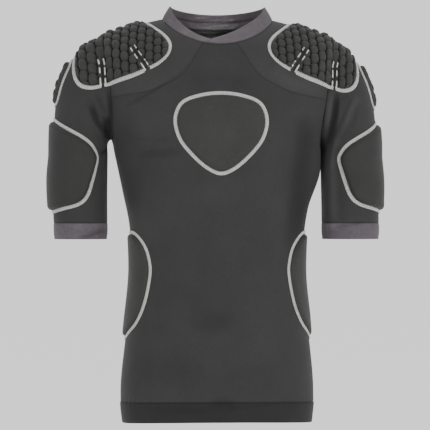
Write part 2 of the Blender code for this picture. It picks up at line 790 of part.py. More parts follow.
def clipped(polygon, loop):
    """The part of a polygon inside a convex loop that runs anticlockwise."""
    for start, end in zip(loop, np.roll(loop, -1, axis=0)):
        step = end - start
        side = [step[0] * (q[1] - start[1]) - step[1] * (q[0] - start[0]) for q in polygon]
        kept = []
        for k, point in enumerate(polygon):
            if (side[k - 1] < 0) != (side[k] < 0):
                share = side[k - 1] / (side[k - 1] - side[k])
                kept.append(polygon[k - 1] + (point - polygon[k - 1]) * share)
            if side[k] >= 0:
                kept.append(point)
        polygon = kept
        if not polygon:
            break
    return polygon


def area(polygon):
    x, y = np.array(polygon).T
    return abs(np.dot(x, np.roll(y, -1)) - np.dot(y, np.roll(x, -1))) / 2


def cell_places(loop):
    """Centres of six-sided cells over a loop, in columns that are half a cell out of step."""
    low, high = loop.min(axis=0), loop.max(axis=0)
    columns = range(int(low[0] // CELL), int(high[0] // CELL) + 2)
    rows = range(int(low[1] // CELL) - 1, int(high[1] // CELL) + 2)
    return [np.array((i, j + (i % 2) / 2)) * CELL for i in columns for j in rows]


def cell_outline(centre):
    narrow, wide, half = CELL / 2 - CELL_POINT, CELL / 2 + CELL_POINT, CELL / 2
    corners = ((narrow, -half), (wide, 0), (narrow, half), (-narrow, half), (-wide, 0), (-narrow, -half))
    return [centre + np.array(corner) for corner in corners]


def four_sided(cell):
    """The cell's outline with its points cut off, for its raised top."""
    return [(cell[k] * 3 + cell[k - 1]) / 4 for k in (1, 3, 4, 0)]


def turned(points, angle):
    """Flat points turned about the start of their chart."""
    cos, sin = math.cos(angle), math.sin(angle)
    return np.array(points) @ np.array(((cos, sin), (-sin, cos)))


def cell_pad(cover, border, centre, foam, turn=0.0):
    """A pad of raised cells over a plain inside."""
    edge, spokes = cover.fitted(inset(border, centre, SEWN_HALF))
    bounds = inset(edge, centre, CELL_MARGIN)
    top = Sheet(edge, CELL_EDGE * foam)
    for middle in cell_places(turned(bounds, -turn)):
        whole = turned(cell_outline(middle), turn)
        cell = clipped(whole, bounds)
        if len(cell) < 3 or area(cell) < LEAST_CELL * area(whole):
            continue
        top.add_loop(cell, GROOVE * foam)
        if area(cell) < LEAST_RAISED * area(whole):
            continue
        hub = np.mean(cell, axis=0)
        fade = min(edge_distance(edge, hub) / EDGE_FADE, 1.0)
        height = foam * (GROOVE + (1 - GROOVE) * (EDGE_RISE + (1 - EDGE_RISE) * fade))
        if len(cell) == len(whole):
            cell = four_sided(cell)
        top.add_loop([hub + (q - hub) * CELL_TOP for q in cell], height)
    return pad_mesh(cover, top, edge, spokes, GROOVE * foam)


def cut_slit(cover, pad, slit, side):
    """Cuts a narrow slit in from the front edge of a shoulder pad, with a block kept out of the render."""
    places = [cover.chart.place(*end) for end in slit]
    ends = [cover.place(at, 0) for at in places]
    out = sum((cover.chart.ray(*at)[1] for at in places), Vector())
    along = (ends[1] - ends[0]).normalized()
    across = out.cross(along).normalized()
    turned = Matrix((along, across, along.cross(across))).transposed().to_4x4()
    bm = bmesh.new()
    size = ((ends[1] - ends[0]).length, SLIT_WIDTH, SLIT_DEPTH)
    bmesh.ops.create_cube(bm, size=1, matrix=Matrix.Diagonal((*size, 1)))
    bmesh.ops.transform(bm, matrix=Matrix.Translation((ends[0] + ends[1]) / 2) @ turned, verts=bm.verts)
    bmesh.ops.transform(bm, matrix=Matrix.Diagonal((side, 1, 1, 1)), verts=bm.verts)
    mesh = worn_mesh(f"{pad.name}_cutter", bm)
    cutter = bpy.data.objects.new(mesh.name, mesh)
    cutter.hide_render = True
    cutter.display_type = "WIRE"
    bpy.data.collections[CUTTERS].objects.link(cutter)
    cut = pad.modifiers.new("slit", "BOOLEAN")
    cut.operation = "DIFFERENCE"
    cut.object = cutter


def pad_pair(name, bm):
    """The pad at +X and its mirror image."""
    other = bm.copy()
    bmesh.ops.transform(other, matrix=Matrix.Diagonal((-1, 1, 1, 1)), verts=other.verts)
    return make_object(f"{name}_left", bm, PADDED_KNIT), make_object(f"{name}_right", other, PADDED_KNIT)


def cloth_grids():
    """The outside of each piece of cloth, as a grid of points on the even cut."""
    grids = {
        "front": panel_grid("front"),
        "back": panel_grid("back"),
        "yoke_left": yoke_grid(),
        "sleeve_left": sleeve_grid(),
        "cuff_left": cuff_grid(),
        "collar": collar_grid(),
    }
    for name in ("yoke", "sleeve", "cuff"):
        grids[f"{name}_right"] = mirrored(grids[f"{name}_left"])
    return grids


def make_cloth(grids, closed):
    normals = shared_normals(grids, closed)
    for name, grid in grids.items():
        rib = name.startswith(("cuff", "collar"))
        wall = np.full(grid.shape[:2], RIB_WALL if rib else SHELL_WALL)
        if name in ("front", "back"):
            wall[grid[..., 2] < HEM_HEIGHT] = HEM_WALL
        cloth_wall(name, grid, normals[name], wall, GREY_RIB if rib else BLACK_KNIT, name in closed)


def make_chest_pad(front):
    border = smooth_loop(both_halves(CHEST_HALF), SMOOTH_POINTS)
    cover = Cover([front], ChestChart())
    make_object("chest_pad", smooth_pad(cover, border, CHEST_CENTRE, CHEST_FOAM), PADDED_KNIT)


def make_rib_pads(front, back):
    border = smooth_loop(both_halves(RIB_HALF), SMOOTH_POINTS)
    cover = Cover([front, back], AroundChart((RIB_AXIS_X, 0), RIB_RADIUS))
    pad_pair("rib_pad", smooth_pad(cover, border, RIB_CENTRE, RIB_FOAM))


def make_arm_pads(sleeve):
    half = [(math.radians(angle) * ARM_RADIUS, height) for angle, height in ARM_HALF]
    border = smooth_loop(both_halves(half), SMOOTH_POINTS)
    cover = Cover([sleeve], AroundChart(ARM_AXIS, ARM_RADIUS))
    pad_pair("arm_pad", smooth_pad(cover, border, ARM_CENTRE, ARM_FOAM))


def make_outer_pads(sleeve):
    border = rounded_loop(OUTER_CENTRE, OUTER_HALF, OUTER_POWER, CELL_POINTS // 2)
    cover = Cover([sleeve], OverChart(OUTER_AXIS, OUTER_RADIUS))
    pad_pair("outer_pad", cell_pad(cover, border, OUTER_CENTRE, OUTER_FOAM))


def make_shoulder_pads(cloth):
    chart = ShoulderChart()
    cover = Cover(cloth, chart)
    border = smooth_loop([chart.place(*row) for row in SHOULDER_BORDER[::-1]], CELL_POINTS)
    pads = pad_pair("shoulder_pad", cell_pad(cover, border, border.mean(axis=0), SHOULDER_FOAM, CELL_TURN))
    for pad, side in zip(pads, (1, -1)):
        for slit in SLITS:
            cut_slit(cover, pad, slit, side)


def main():
    for obj in list(bpy.data.objects):
        bpy.data.objects.remove(obj)
    for name in (COLLECTION, CUTTERS):
        bpy.context.scene.collection.children.link(bpy.data.collections.new(name))
    grids = cloth_grids()
    closed = {name for name in grids if name.startswith(("sleeve", "cuff", "collar"))}
    make_cloth(grids, closed)

    cloth = {name: (grid, name in closed) for name, grid in grids.items()}
    make_chest_pad(cloth["front"])
    make_rib_pads(cloth["front"], cloth["back"])
    make_arm_pads(cloth["sleeve_left"])
    make_outer_pads(cloth["sleeve_left"])
    make_shoulder_pads([cloth[name] for name in ("front", "back", "yoke_left", "sleeve_left")])


main()
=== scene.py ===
"""Looks of the padded sports shirt: its cloth, pads and sewing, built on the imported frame.

Metres, +Z up, the front towards -Y and the garment's left sleeve at +X, as in the part's source.
Pieces are worked out on the even cut of the garment and then brought to how it is worn.
"""

from collections import namedtuple
from functools import partial
from math import atan, cos, pi, radians, sin

import bpy
import numpy as np
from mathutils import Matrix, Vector
from mathutils.bvhtree import BVHTree


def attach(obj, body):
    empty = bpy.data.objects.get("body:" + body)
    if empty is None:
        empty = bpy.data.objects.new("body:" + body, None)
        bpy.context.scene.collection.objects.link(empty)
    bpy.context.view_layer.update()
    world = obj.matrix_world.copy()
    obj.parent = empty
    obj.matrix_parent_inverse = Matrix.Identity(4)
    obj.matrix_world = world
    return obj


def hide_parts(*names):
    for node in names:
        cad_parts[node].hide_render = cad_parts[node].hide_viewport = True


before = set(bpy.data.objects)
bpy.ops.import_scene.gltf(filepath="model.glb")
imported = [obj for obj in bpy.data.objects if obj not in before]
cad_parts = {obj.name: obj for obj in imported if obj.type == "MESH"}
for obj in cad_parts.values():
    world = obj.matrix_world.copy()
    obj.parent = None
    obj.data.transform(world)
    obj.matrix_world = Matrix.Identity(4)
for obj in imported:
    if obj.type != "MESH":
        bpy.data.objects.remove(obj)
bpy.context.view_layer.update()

# The cut of the garment, as in the part's source
SHELL_WALL, RIB_WALL, PAD_LIFT = 0.0014, 0.0024, 0.0009
HEM_HEIGHT = -0.646
Section = namedtuple(
    "Section", "side_height half_width front_depth back_depth front_height back_height roundness"
)
BODY = [
    Section(-0.682, 0.169, 0.112, 0.116, -0.675, -0.679, 2.25),
    Section(-0.610, 0.169, 0.112, 0.117, -0.606, -0.608, 2.25),
    Section(-0.530, 0.161, 0.108, 0.109, -0.528, -0.530, 2.25),
    Section(-0.420, 0.150, 0.103, 0.098, -0.420, -0.420, 2.25),
    Section(-0.341, 0.154, 0.106, 0.098, -0.341, -0.341, 2.25),
    Section(-0.278, 0.166, 0.114, 0.104, -0.279, -0.278, 2.25),
    Section(-0.215, 0.178, 0.122, 0.111, -0.223, -0.218, 2.25),
    Section(-0.187, 0.183, 0.123, 0.114, -0.196, -0.190, 2.25),
    Section(-0.150, 0.197, 0.122, 0.116, -0.171, -0.162, 2.30),
    Section(-0.105, 0.205, 0.119, 0.116, -0.148, -0.134, 2.35),
    Section(-0.058, 0.207, 0.115, 0.113, -0.126, -0.106, 2.40),
    Section(-0.014, 0.203, 0.109, 0.107, -0.102, -0.078, 2.40),
    Section(0.0005, 0.172, 0.102, 0.096, -0.077, -0.048, 2.30),
    Section(0.014, 0.140, 0.093, 0.081, -0.049, -0.017, 2.15),
    Section(0.025, 0.097, 0.082, 0.063, -0.022, 0.012, 2.00),
]
COLLAR_TOP = Section(0.0475, 0.084, 0.060, 0.055, -0.013, 0.037, 2.00)
FACES = ("front", "back")
UNDERARM, SHOULDER_TIP, NECKLINE = 7, 11, 14
CENTRE_FALL, YOKE_FALL = 1.5, 1.5
COLLAR_FALL, COLLAR_POINT = {"front": 1.6, "back": 1.5}, {"front": 0.5, "back": 0.0}
COLLAR_TURN = {"front": radians(9), "back": 0.0}
ARMHOLE_SWEEP = {"front": radians(26), "back": radians(23)}
ARMHOLE_STEPS, YOKE_STEP = 12, 6
YOKE_NECK = {"front": 0.19, "back": 0.34}
YOKE_TURN = {"front": 4.2, "back": 3.0}

SleeveRing = namedtuple("SleeveRing", "height centre_x centre_y half_width half_depth")
SLEEVE = [
    SleeveRing(-0.215, 0.2365, 0.000, 0.0475, 0.054),
    SleeveRing(-0.252, 0.2385, -0.001, 0.0490, 0.054),
    SleeveRing(-0.290, 0.2385, -0.003, 0.0485, 0.052),
    SleeveRing(-0.333, 0.2375, -0.006, 0.0475, 0.050),
]
CUFF_END = SleeveRing(-0.360, 0.2375, -0.007, 0.0465, 0.049)
CAP_DROOP = {"underarm": radians(-22), "tip": radians(-23)}
CAP_LEAVE, CAP_ARRIVE = 0.38, 0.46

# How the garment hangs, as in the part's source
TILT, TILT_REACH, TILT_FLOOR, TILT_CEILING = 0.0090, 0.150, -0.300, -0.100
LEAN, LEAN_BLEND, LEAN_LOW, LEAN_HIGH = 0.0040, 0.040, -0.160, -0.090
LEAN_FROM_LOW, LEAN_FROM_HIGH = 0.160, 0.195
TWIST, TWIST_TOP, TWIST_BLEND, TWIST_FROM, TWIST_WIDTH = radians(5.4), -0.120, 0.070, 0.178, 0.012
SPREAD_IN, SPREAD_OUT, SPREAD_END, SPREAD_FROM, SPREAD_BLEND = 0.070, 0.020, 0.060, -0.285, 0.060
NARROW_OUT = 0.030
SAG, SAG_HEIGHT, SAG_REACH, SAG_FROM, SAG_WIDTH = 0.0091, -0.242, 0.064, 0.130, 0.045
SAG_END, SAG_END_WIDTH = 0.1775, 0.005
FOLD_FADE = 0.030

# Folds and creases along lines seen from the front or the back, ridges where their depth is below 0.
# The folds are those of the solids; the creases are finer, with painted shade in their troughs and painted
# light on their ridges.
FRONT, BACK = -1, 1
Crease = namedtuple("Crease", "path depth half_width face", defaults=(FRONT,))
FOLDS = [
    Crease(((-0.224, -0.128), (-0.187, -0.18)), 0.0045, 0.013),
    Crease(((0.197, -0.113), (0.195, -0.163)), 0.0045, 0.013),
    Crease(((0.195, -0.163), (0.181, -0.233)), 0.004, 0.013),
    Crease(((0.131, -0.17), (0.125, -0.255)), 0.0035, 0.024),
]
CREASES = [
    Crease(((-0.195, -0.096), (-0.189, -0.119), (-0.188, -0.146), (-0.188, -0.18)), 0.0042, 0.0065),
    Crease(((-0.193, -0.148), (-0.194, -0.186)), 0.0085, 0.013),
    Crease(((-0.224, -0.126), (-0.212, -0.157), (-0.203, -0.168), (-0.19, -0.173)), 0.0055, 0.007),
    Crease(((-0.213, -0.108), (-0.202, -0.133), (-0.191, -0.153)), 0.003, 0.0065),
    Crease(((-0.187, -0.196), (-0.208, -0.216)), 0.005, 0.006),
    Crease(
        (
            (-0.049, -0.045), (-0.056, -0.057), (-0.073, -0.078),
            (-0.116, -0.106), (-0.161, -0.131), (-0.184, -0.146),
        ),
        0.0022,
        0.0045,
    ),
    Crease(((0.198, -0.098), (0.192, -0.144), (0.187, -0.172)), -0.0045, 0.011),
    Crease(((0.206, -0.104), (0.201, -0.144), (0.196, -0.172), (0.191, -0.196)), 0.0065, 0.0085),
    Crease(((0.193, -0.18), (0.188, -0.204), (0.18, -0.236)), 0.0022, 0.006),
    Crease(((0.243, -0.109), (0.231, -0.13), (0.22, -0.157), (0.207, -0.184)), -0.0048, 0.01),
    Crease(((0.211, -0.175), (0.197, -0.206), (0.191, -0.242)), -0.005, 0.011),
    Crease(((0.21, -0.115), (0.226, -0.111)), 0.002, 0.006),
    Crease(((0.241, -0.136), (0.229, -0.168)), 0.0018, 0.007),
    Crease(((0.194, -0.205), (0.191, -0.255), (0.192, -0.3), (0.196, -0.348)), -0.0075, 0.02),
    Crease(((0.198, -0.34), (0.225, -0.3365), (0.254, -0.332)), 0.003, 0.005),
    Crease(((-0.246, -0.36), (-0.22, -0.353), (-0.192, -0.342)), 0.0044, 0.008),
    Crease(((-0.062, -0.092), (0.0, -0.084), (0.066, -0.094)), 0.0026, 0.034),
    Crease(((0.08, -0.062), (0.12, -0.09), (0.17, -0.098)), -0.0026, 0.021),
    Crease(((-0.158, -0.16), (-0.1, -0.186)), -0.0022, 0.034),
    Crease(((-0.04, -0.278), (0.045, -0.274)), -0.002, 0.044),
    Crease(((-0.156, -0.29), (-0.138, -0.328), (-0.118, -0.375)), -0.003, 0.035),
    Crease(((0.15, -0.138), (0.147, -0.205), (0.137, -0.292), (0.124, -0.4)), 0.0056, 0.034),
    Crease(((-0.148, -0.215), (-0.06, -0.21)), 0.0032, 0.0125),
    Crease(((-0.168, -0.236), (-0.1, -0.268)), 0.0012, 0.011),
    Crease(((0.16, -0.246), (0.098, -0.283)), 0.0011, 0.012),
    Crease(((-0.062, -0.5), (-0.008, -0.504), (0.03, -0.496)), 0.0028, 0.04),
    Crease(((-0.15, -0.572), (-0.092, -0.59), (-0.03, -0.604)), 0.0022, 0.048),
    Crease(((-0.022, -0.648), (0.0, -0.641), (0.026, -0.648)), 0.0034, 0.018),
    Crease(((-0.16, -0.652), (-0.06, -0.655), (0.03, -0.651)), 0.0024, 0.012),
    Crease(((0.01, -0.6515), (0.055, -0.648), (0.108, -0.6435)), 0.0018, 0.0032),
    Crease(((0.12, -0.572), (0.04, -0.592)), 0.001, 0.012),
    Crease(((-0.205, -0.11), (-0.19, -0.15), (-0.165, -0.19)), 0.0056, 0.012, BACK),
    Crease(((0.203, -0.118), (0.186, -0.152), (0.164, -0.18)), 0.005, 0.011, BACK),
    Crease(((-0.156, -0.226), (-0.11, -0.25), (-0.05, -0.264)), 0.003, 0.013, BACK),
    Crease(((0.15, -0.24), (0.104, -0.268), (0.062, -0.286)), 0.0026, 0.012, BACK),
    Crease(((-0.078, -0.372), (-0.01, -0.38), (0.044, -0.366)), 0.0034, 0.013, BACK),
    Crease(((0.07, -0.396), (0.02, -0.406), (-0.034, -0.404)), 0.0028, 0.011, BACK),
    Crease(((-0.046, -0.432), (0.062, -0.441)), 0.0022, 0.012, BACK),
    Crease(((0.11, -0.59), (-0.01, -0.602)), 0.001, 0.013, BACK),
    Crease(((0.24, -0.14), (0.226, -0.176), (0.214, -0.205)), 0.0026, 0.007, BACK),
    Crease(((-0.243, -0.132), (-0.231, -0.17), (-0.219, -0.203)), 0.0028, 0.007, BACK),
]
Wave = namedtuple("Wave", "across up phase height")
WAVES = [
    Wave(0.083, 0.061, 1.3, 0.00035),
    Wave(-0.047, 0.105, 0.4, 0.00025),
    Wave(0.139, -0.074, 2.2, 0.00030),
]

# Kinds of piece that the garment has once, and the others' endings and signs of X
SINGLE = ("front", "back", "collar", "chest_pad")
BOTH_SIDES = (("_left", 1), ("_right", -1))

# Pads, as in the part's source: each border is the middle of the sewn line round a pad
SEWN_HALF, EDGE_TUCK = 0.0035, 0.0006
CHEST_FOAM, RIB_FOAM, ARM_FOAM, SHOULDER_FOAM, OUTER_FOAM = 0.0065, 0.0055, 0.0090, 0.0092, 0.0080
CHEST_CENTRE = (0.0, -0.170)
CHEST_HALF = [
    (0.000, -0.1095), (0.037, -0.1140), (0.067, -0.1270), (0.0785, -0.1545),
    (0.071, -0.1875), (0.050, -0.2150), (0.0245, -0.2375), (0.000, -0.2475),
]
RIB_AXIS, RIB_RADIUS, RIB_CENTRE = (0.050, 0.0), 0.100, (0.0, -0.430)
RIB_HALF = [
    (0.000, -0.3500), (0.038, -0.3510), (0.065, -0.3725), (0.0765, -0.4050),
    (0.0755, -0.4320), (0.068, -0.4680), (0.057, -0.4950), (0.039, -0.5160),
    (0.000, -0.5340),
]
ARM_AXIS, ARM_RADIUS, ARM_CENTRE = (0.2375, -0.003), 0.050, (0.0, -0.232)
ARM_HALF = [
    (0, -0.1540), (35, -0.1620), (75, -0.1780), (99, -0.1915),
    (113, -0.2045), (121, -0.2200), (116, -0.2400), (108, -0.2630),
    (100, -0.2830), (87, -0.2970), (60, -0.3055), (0, -0.3135),
]
OUTER_AXIS, OUTER_RADIUS = (0.195, -0.150), 0.100
OUTER_CENTRE, OUTER_HALF, OUTER_POWER = (-0.004, 0.0640), (0.025, 0.0400), 4.0
SHOULDER_START, SHOULDER_ALONG = (0.085, 0.0, -0.065), (0.916, 0.0, -0.401)
SHOULDER_RADIUS, SHOULDER_NARROWING = 0.0885, 0.21
SHOULDER_BORDER = [
    (0.010, 0), (-0.004, 26), (-0.014, 47), (-0.015, 63),
    (-0.004, 74), (0.020, 80), (0.060, 81.5), (0.092, 78),
    (0.114, 73), (0.136, 68.5), (0.151, 56), (0.154, 37),
    (0.145, 16), (0.130, -6), (0.104, -28), (0.070, -38),
    (0.034, -26),
]
CELL, CELL_TURN = 0.0155, radians(-23.5)
Slit = namedtuple("Slit", "ends gap dashes")
SLITS = [
    Slit(
        ((0.046, 48), (0.037, 86)),
        0.0048,
        {-1: ((0.00, 0.14), (0.28, 0.53), (0.70, 1.06)), 1: ((0.04, 0.15), (0.27, 0.50), (0.72, 1.06))},
    ),
    Slit(
        ((0.103, 37), (0.1215, 80)),
        0.0022,
        {-1: ((0.02, 0.24), (0.32, 0.68), (0.80, 1.06)), 1: ((0.06, 0.18), (0.30, 0.56), (0.74, 1.06))},
    ),
]

# Relief of the cloth and bands, and shade painted into their colour: painted shade along seams, hem, the
# collar's line and creases, painted light on ridges
SEAM_DIP, SEAM_REACH, SEAM_SHADE = 0.0006, 0.0036, 0.08
HEM_RISE, HEM_STEP, HEM_TUCK, HEM_TUCK_POWER = 0.0009, 0.0015, 0.0030, 1.5
HEM_GROOVE, HEM_GROOVE_HALF = 0.0009, 0.0013
HEM_SHADE, HEM_SHADE_STEP, HEM_LINE_SHADE = 0.38, 0.0020, 0.50
PUCKER, PUCKER_PITCH, PUCKER_REACH = 0.00030, 0.0105, 0.011
PUCKER_TURNS, PUCKER_LENGTHS, PUCKER_PHASES = (1.68, 1.20), (0.031, 0.0143), (0.8, 0.0)
LAP, LAP_LOW, LAP_HIGH = 0.0014, radians(-15), radians(-9)
LAP_EDGE, LAP_FADE = radians(0.9), radians(30)
BAND_ROUND, BAND_RISE, BAND_LINE_HALF = 0.70, 0.35, 0.06
COLLAR_SWELL, COLLAR_INNER_SWELL, COLLAR_GROOVE = 0.0008, 0.0003, 0.0009
COLLAR_LINE_AT, COLLAR_LINE_SHADE = 0.5, 0.5
CUFF_SWELL, CUFF_INNER_SWELL, CUFF_GROOVE, CUFF_LINE_AT = 0.0007, 0.0002, 0.0005, 0.8
CREASE_SHADE, RIDGE_LIGHT, CREASE_DEEP = 0.45, 0.42, 0.0070

# Relief of the pads, and shade painted into their colour in the pits between cells and in the slits
EDGE_RISE, CROWN, CROWN_REACH = 0.0085, 0.0006, 0.035
SOFT_WAVE, SOFT_LENGTHS, SOFT_PHASES = 0.00022, (0.0121, 0.0153), (0.6, 1.9)
RIPPLE, RIPPLE_COUNT, RIPPLE_REACH = 0.00028, 41, 0.008
RIPPLE_DRIFT, RIPPLE_DRIFTS = 1.7, 5
CELL_TIGHT, CELL_LINK, CELL_DOME, CELL_SOFT, CELL_SLANT = 0.88, 0.96, 3.3, 0.62, 0.14
CELL_UNEVEN, COLUMN_STEP, ROW_STEP = 0.22, 2.3, 4.1
PIT_SHADE, PIT_TOP = 0.50, 0.7
SLIT_GROOVE, SLIT_GROOVE_SIDE, SLIT_SHELF, SLIT_SHELF_SIDE = 0.0008, 0.0015, 0.0050, 0.0030
SLIT_SHELF_HEIGHT, SLIT_FLOOR, SLIT_OPENS, SLIT_SHADE = 0.30, 0.03, 0.14, 0.35

# Sewing
THREAD, THREAD_SIDES, THREAD_END, OFF_THREAD = 0.00060, 5, 0.55, (0.3, 0.2, 0.1)
STITCH_PITCH, STITCH_SLANT, STITCH_CROWN, TANGENT_STEP = 0.0020, 0.0008, 0.0006, 0.0005
SEWN_WIDTH, SEWN_POINTS, RIBBON_CROWN, RIBBON_SINK, RIBBON_WALL = 0.0066, 5, 0.0004, 0.0003, 0.0005
SLIT_LINE, DASH_SPREAD, DASH_LIFT, DASH_POINTS = 0.0044, 0.0006, 0.0005, 8
DARK_THREAD, DARK_SIDES, RUN_STITCH, RUN_GAP = 0.00030, 4, 0.0030, 0.0012
RUN_LIFTS = (-0.0002, 0.0002, 0.0002, -0.0002)
HEM_STITCHES, BESIDE_SEAM = (0.001, -0.004), (3, -4)

# Fineness: points of the grids, and the shares of a sheet beside its seams that have finer rows
PANEL_GRIDS = {"front": (120, 124), "back": (92, 100)}
YOKE_GRID, SLEEVE_GRID = (44, 48), (84, 52, 40)
COLLAR_GRID, CUFF_ROWS, LOW_RINGS, RING_POWER = (110, 18), 14, 8, 1.15
HEM_ROWS, HEM_FINE_ROWS, HEM_FINE = 10, 11, 0.005
TOP_EDGE, SIDE_EDGE, YOKE_EDGE, SLEEVE_EDGE = 0.030, 0.012, 0.020, 0.030
EDGE_SHARES, YOKE_SHARES = (0.0, 0.25, 0.5, 0.75), (0.25, 0.5)
FINE_ROWS, FINE_TURNS, FINE_BORDER, SLIT_TRIES, SHOULDER_POINTS = 701, 401, 1200, 201, 48

# The camera, level with the middle of the garment, a little to the left of straight in front
IMAGE_SIDE, METRES_PER_PIXEL = 430, 0.00176
CAMERA_YAW, CAMERA_DISTANCE, CAMERA_HEIGHT = radians(3.3), 4.2, -0.3186
CAMERA_ASIDE = -0.00405

# A ray that slips through a corner of the cloth is tried again a little beside it
RAY_TRIES, OFF_A_CORNER = 9, Vector((5e-6, 9e-6, 7e-6))


# Curves and surfaces of the even cut
def blend(rows, at):
    """Rows at fractional places in a table, on a smooth curve through its rows."""
    rows, at = np.asarray(rows, float), np.asarray(at, float)
    last = len(rows) - 1
    low = np.clip(at.astype(int), 0, last - 1)
    share = (at - low)[..., None]
    before, start, end, after = (rows[np.clip(low + k, 0, last)] for k in (-1, 0, 1, 2))
    leave, arrive = (end - before) / 2, (after - start) / 2
    return (
        start * (1 + 2 * share) * (1 - share) ** 2
        + leave * share * (1 - share) ** 2
        + end * share**2 * (3 - 2 * share)
        + arrive * share**2 * (share - 1)
    )


def smooth_step(share):
    share = np.clip(share, 0.0, 1.0)
    return share * share * (3 - 2 * share)


def bump(share):
    """1 at 0, falling smoothly to 0 at 1 and beyond."""
    return np.clip(1 - share * share, 0.0, None) ** 2


def unit(vectors):
    return vectors / np.linalg.norm(vectors, axis=-1, keepdims=True)


def along_curve(points):
    """Distance along a line of points from its first one."""
    steps = np.linalg.norm(np.diff(points, axis=0), axis=-1)
    return np.concatenate((np.zeros((1, *steps.shape[1:])), np.cumsum(steps, axis=0)))


def across_rows(grid):
    """Distance of each point of a grid from the start of its row."""
    return along_curve(np.moveaxis(grid, 1, 0)).T


def closed_loop(loop):
    return np.vstack((loop, loop[:1]))


def resampled(points, wanted):
    """Rows of a line, which start with its points, at wanted distances along it."""
    along = along_curve(points[:, :3])
    return np.stack([np.interp(wanted, along, column) for column in points.T], axis=1)


def path_gap(path, flat):
    """Distances of flat places from a line, and the shares of its length nearest to them."""
    path = np.asarray(path, float)
    along = along_curve(path)
    gap, nearest = np.full(len(flat), np.inf), np.zeros(len(flat))
    for start, line, before in zip(path[:-1], np.diff(path, axis=0), along):
        share = np.clip((flat - start) @ line / (line @ line), 0.0, 1.0)
        here = np.linalg.norm(flat - start - share[:, None] * line, axis=1)
        nearest = np.where(here < gap, before + share * np.linalg.norm(line), nearest)
        gap = np.minimum(gap, here)
    return gap, nearest / along[-1]


def section_points(sections, face, angle, fall=CENTRE_FALL, turn=0.0, point=0.0):
    """Points of sections: the angle is 0 at the centre of a face, a right angle at the +X side."""
    s = Section(*np.moveaxis(np.asarray(sections, float), -1, 0))
    depth, centre_height = (
        (-s.front_depth, s.front_height) if face == "front" else (s.back_depth, s.back_height)
    )
    power = 2 / s.roundness
    across, out = np.sin(angle), np.clip(np.cos(angle), 0.0, None)
    aside = angle + turn * out
    sharp = np.clip(1 - np.abs(aside) * 2 / pi, 0.0, 1.0)
    lowest = (1 - point) * np.clip(np.cos(aside), 0.0, None) ** fall + point * sharp
    x = s.half_width * np.sign(across) * np.abs(across) ** power
    z = s.side_height + (centre_height - s.side_height) * lowest
    return np.stack((x, depth * out**power, z), axis=-1)


def side_angle(face, row):
    """The angle at which a row of the body ends, at its side or its armhole."""
    reach = (2 * row - UNDERARM - SHOULDER_TIP) / (SHOULDER_TIP - UNDERARM)
    return pi / 2 - ARMHOLE_SWEEP[face] * np.sqrt(np.clip(1 - reach * reach, 0.0, None))


def body_points(face, column, row):
    """Points of the body: column is -1 to 1 from side to side, row counts sections."""
    return section_points(blend(BODY, row), face, column * side_angle(face, row))


def armhole_row(step):
    middle, half = (UNDERARM + SHOULDER_TIP) / 2, (SHOULDER_TIP - UNDERARM) / 2
    return middle - half * np.cos(pi * step / ARMHOLE_STEPS)


def yoke_place(face, step, out):
    """(column, row) on lines from the neckline to the armhole, out along them from 0 to 1."""
    over = (step - YOKE_STEP) / (ARMHOLE_STEPS - YOKE_STEP)
    turn = YOKE_TURN[face] * (1 - over) + over
    fall = 1 - (1 - out) ** YOKE_FALL
    end_row = armhole_row(step)
    row = NECKLINE - (NECKLINE - end_row) * fall
    neck = (YOKE_NECK[face] + (1 - YOKE_NECK[face]) * over) * pi / 2
    angle = neck + (side_angle(face, end_row) - neck) * fall**turn
    return angle / side_angle(face, row), row


def graded(count, edge):
    """Shares from 0 to 1 with extra ones close to both ends, for seams."""
    near = np.array(EDGE_SHARES) * edge
    return np.concatenate((near, np.linspace(edge, 1 - edge, count), 1 - near[::-1]))


def side_rows(heights):
    """Fractional rows of the body at given heights of the side seam."""
    rows = np.linspace(0, UNDERARM, FINE_ROWS)
    return np.interp(heights, blend(BODY, rows)[:, 0], rows)


def panel_grid(face, columns, rows):
    """The front or back in rows from hem to neckline, and each row's height at the side."""
    hem, low = BODY[0].side_height, BODY[UNDERARM].side_height
    fine = HEM_HEIGHT + HEM_FINE * np.linspace(-1, 1, HEM_FINE_ROWS)
    step = fine[1] - fine[0]
    below = np.linspace(hem, fine[0] - step, HEM_ROWS)
    above = np.linspace(fine[-1] + 2 * step, low, rows)
    row = side_rows(np.concatenate((below, fine, above)))
    end = np.ones_like(row)
    steps = np.linspace(0, YOKE_STEP, rows // 4 + 1)[1:]
    out = graded(rows // 3, TOP_EDGE)[::-1][1:]
    seam_column, seam_row = yoke_place(face, YOKE_STEP, out)
    row = np.concatenate((row, armhole_row(steps), seam_row))
    end = np.concatenate((end, np.ones_like(steps), seam_column))
    share = 2 * graded(columns, SIDE_EDGE) - 1
    if face == "back":
        share = share[::-1]
    grid = body_points(face, share[None, :] * end[:, None], row[:, None] * np.ones_like(share)[None, :])
    return grid, blend(BODY, row)[:, 0]


def yoke_grid(lines, columns):
    """The yoke at +X, in lines from the front seam over the shoulder to the back seam."""
    over = np.linspace(YOKE_STEP, ARMHOLE_STEPS, lines)
    over = np.concatenate((over[:1], over[:1] + (over[1] - over[0]) * np.array(YOKE_SHARES), over[1:]))
    out = graded(columns, YOKE_EDGE)
    step, out = np.meshgrid(over, out, indexing="ij")
    front, back = (body_points(face, *yoke_place(face, step, out)) for face in FACES)
    return np.concatenate((front, back[-2::-1]))


def armhole_loop(half):
    """The armhole at +X, from the underarm up the back, over the tip and down the front."""
    rows = armhole_row(np.linspace(0, ARMHOLE_STEPS, half + 1))
    front, back = (body_points(face, np.ones_like(rows), rows) for face in FACES)
    return np.concatenate((back, front[-2:0:-1]))


def ring_points(rings, angles):
    """Level rings of the sleeve: angle 0 faces the body, a right angle the back, pi the outside."""
    r = SleeveRing(*np.moveaxis(np.asarray(rings, float)[..., None, :], -1, 0))
    x = r.centre_x - r.half_width * np.cos(angles)
    y = r.centre_y + r.half_depth * np.sin(angles)
    return np.stack((x, y, r.height + np.zeros_like(x)), axis=-1)


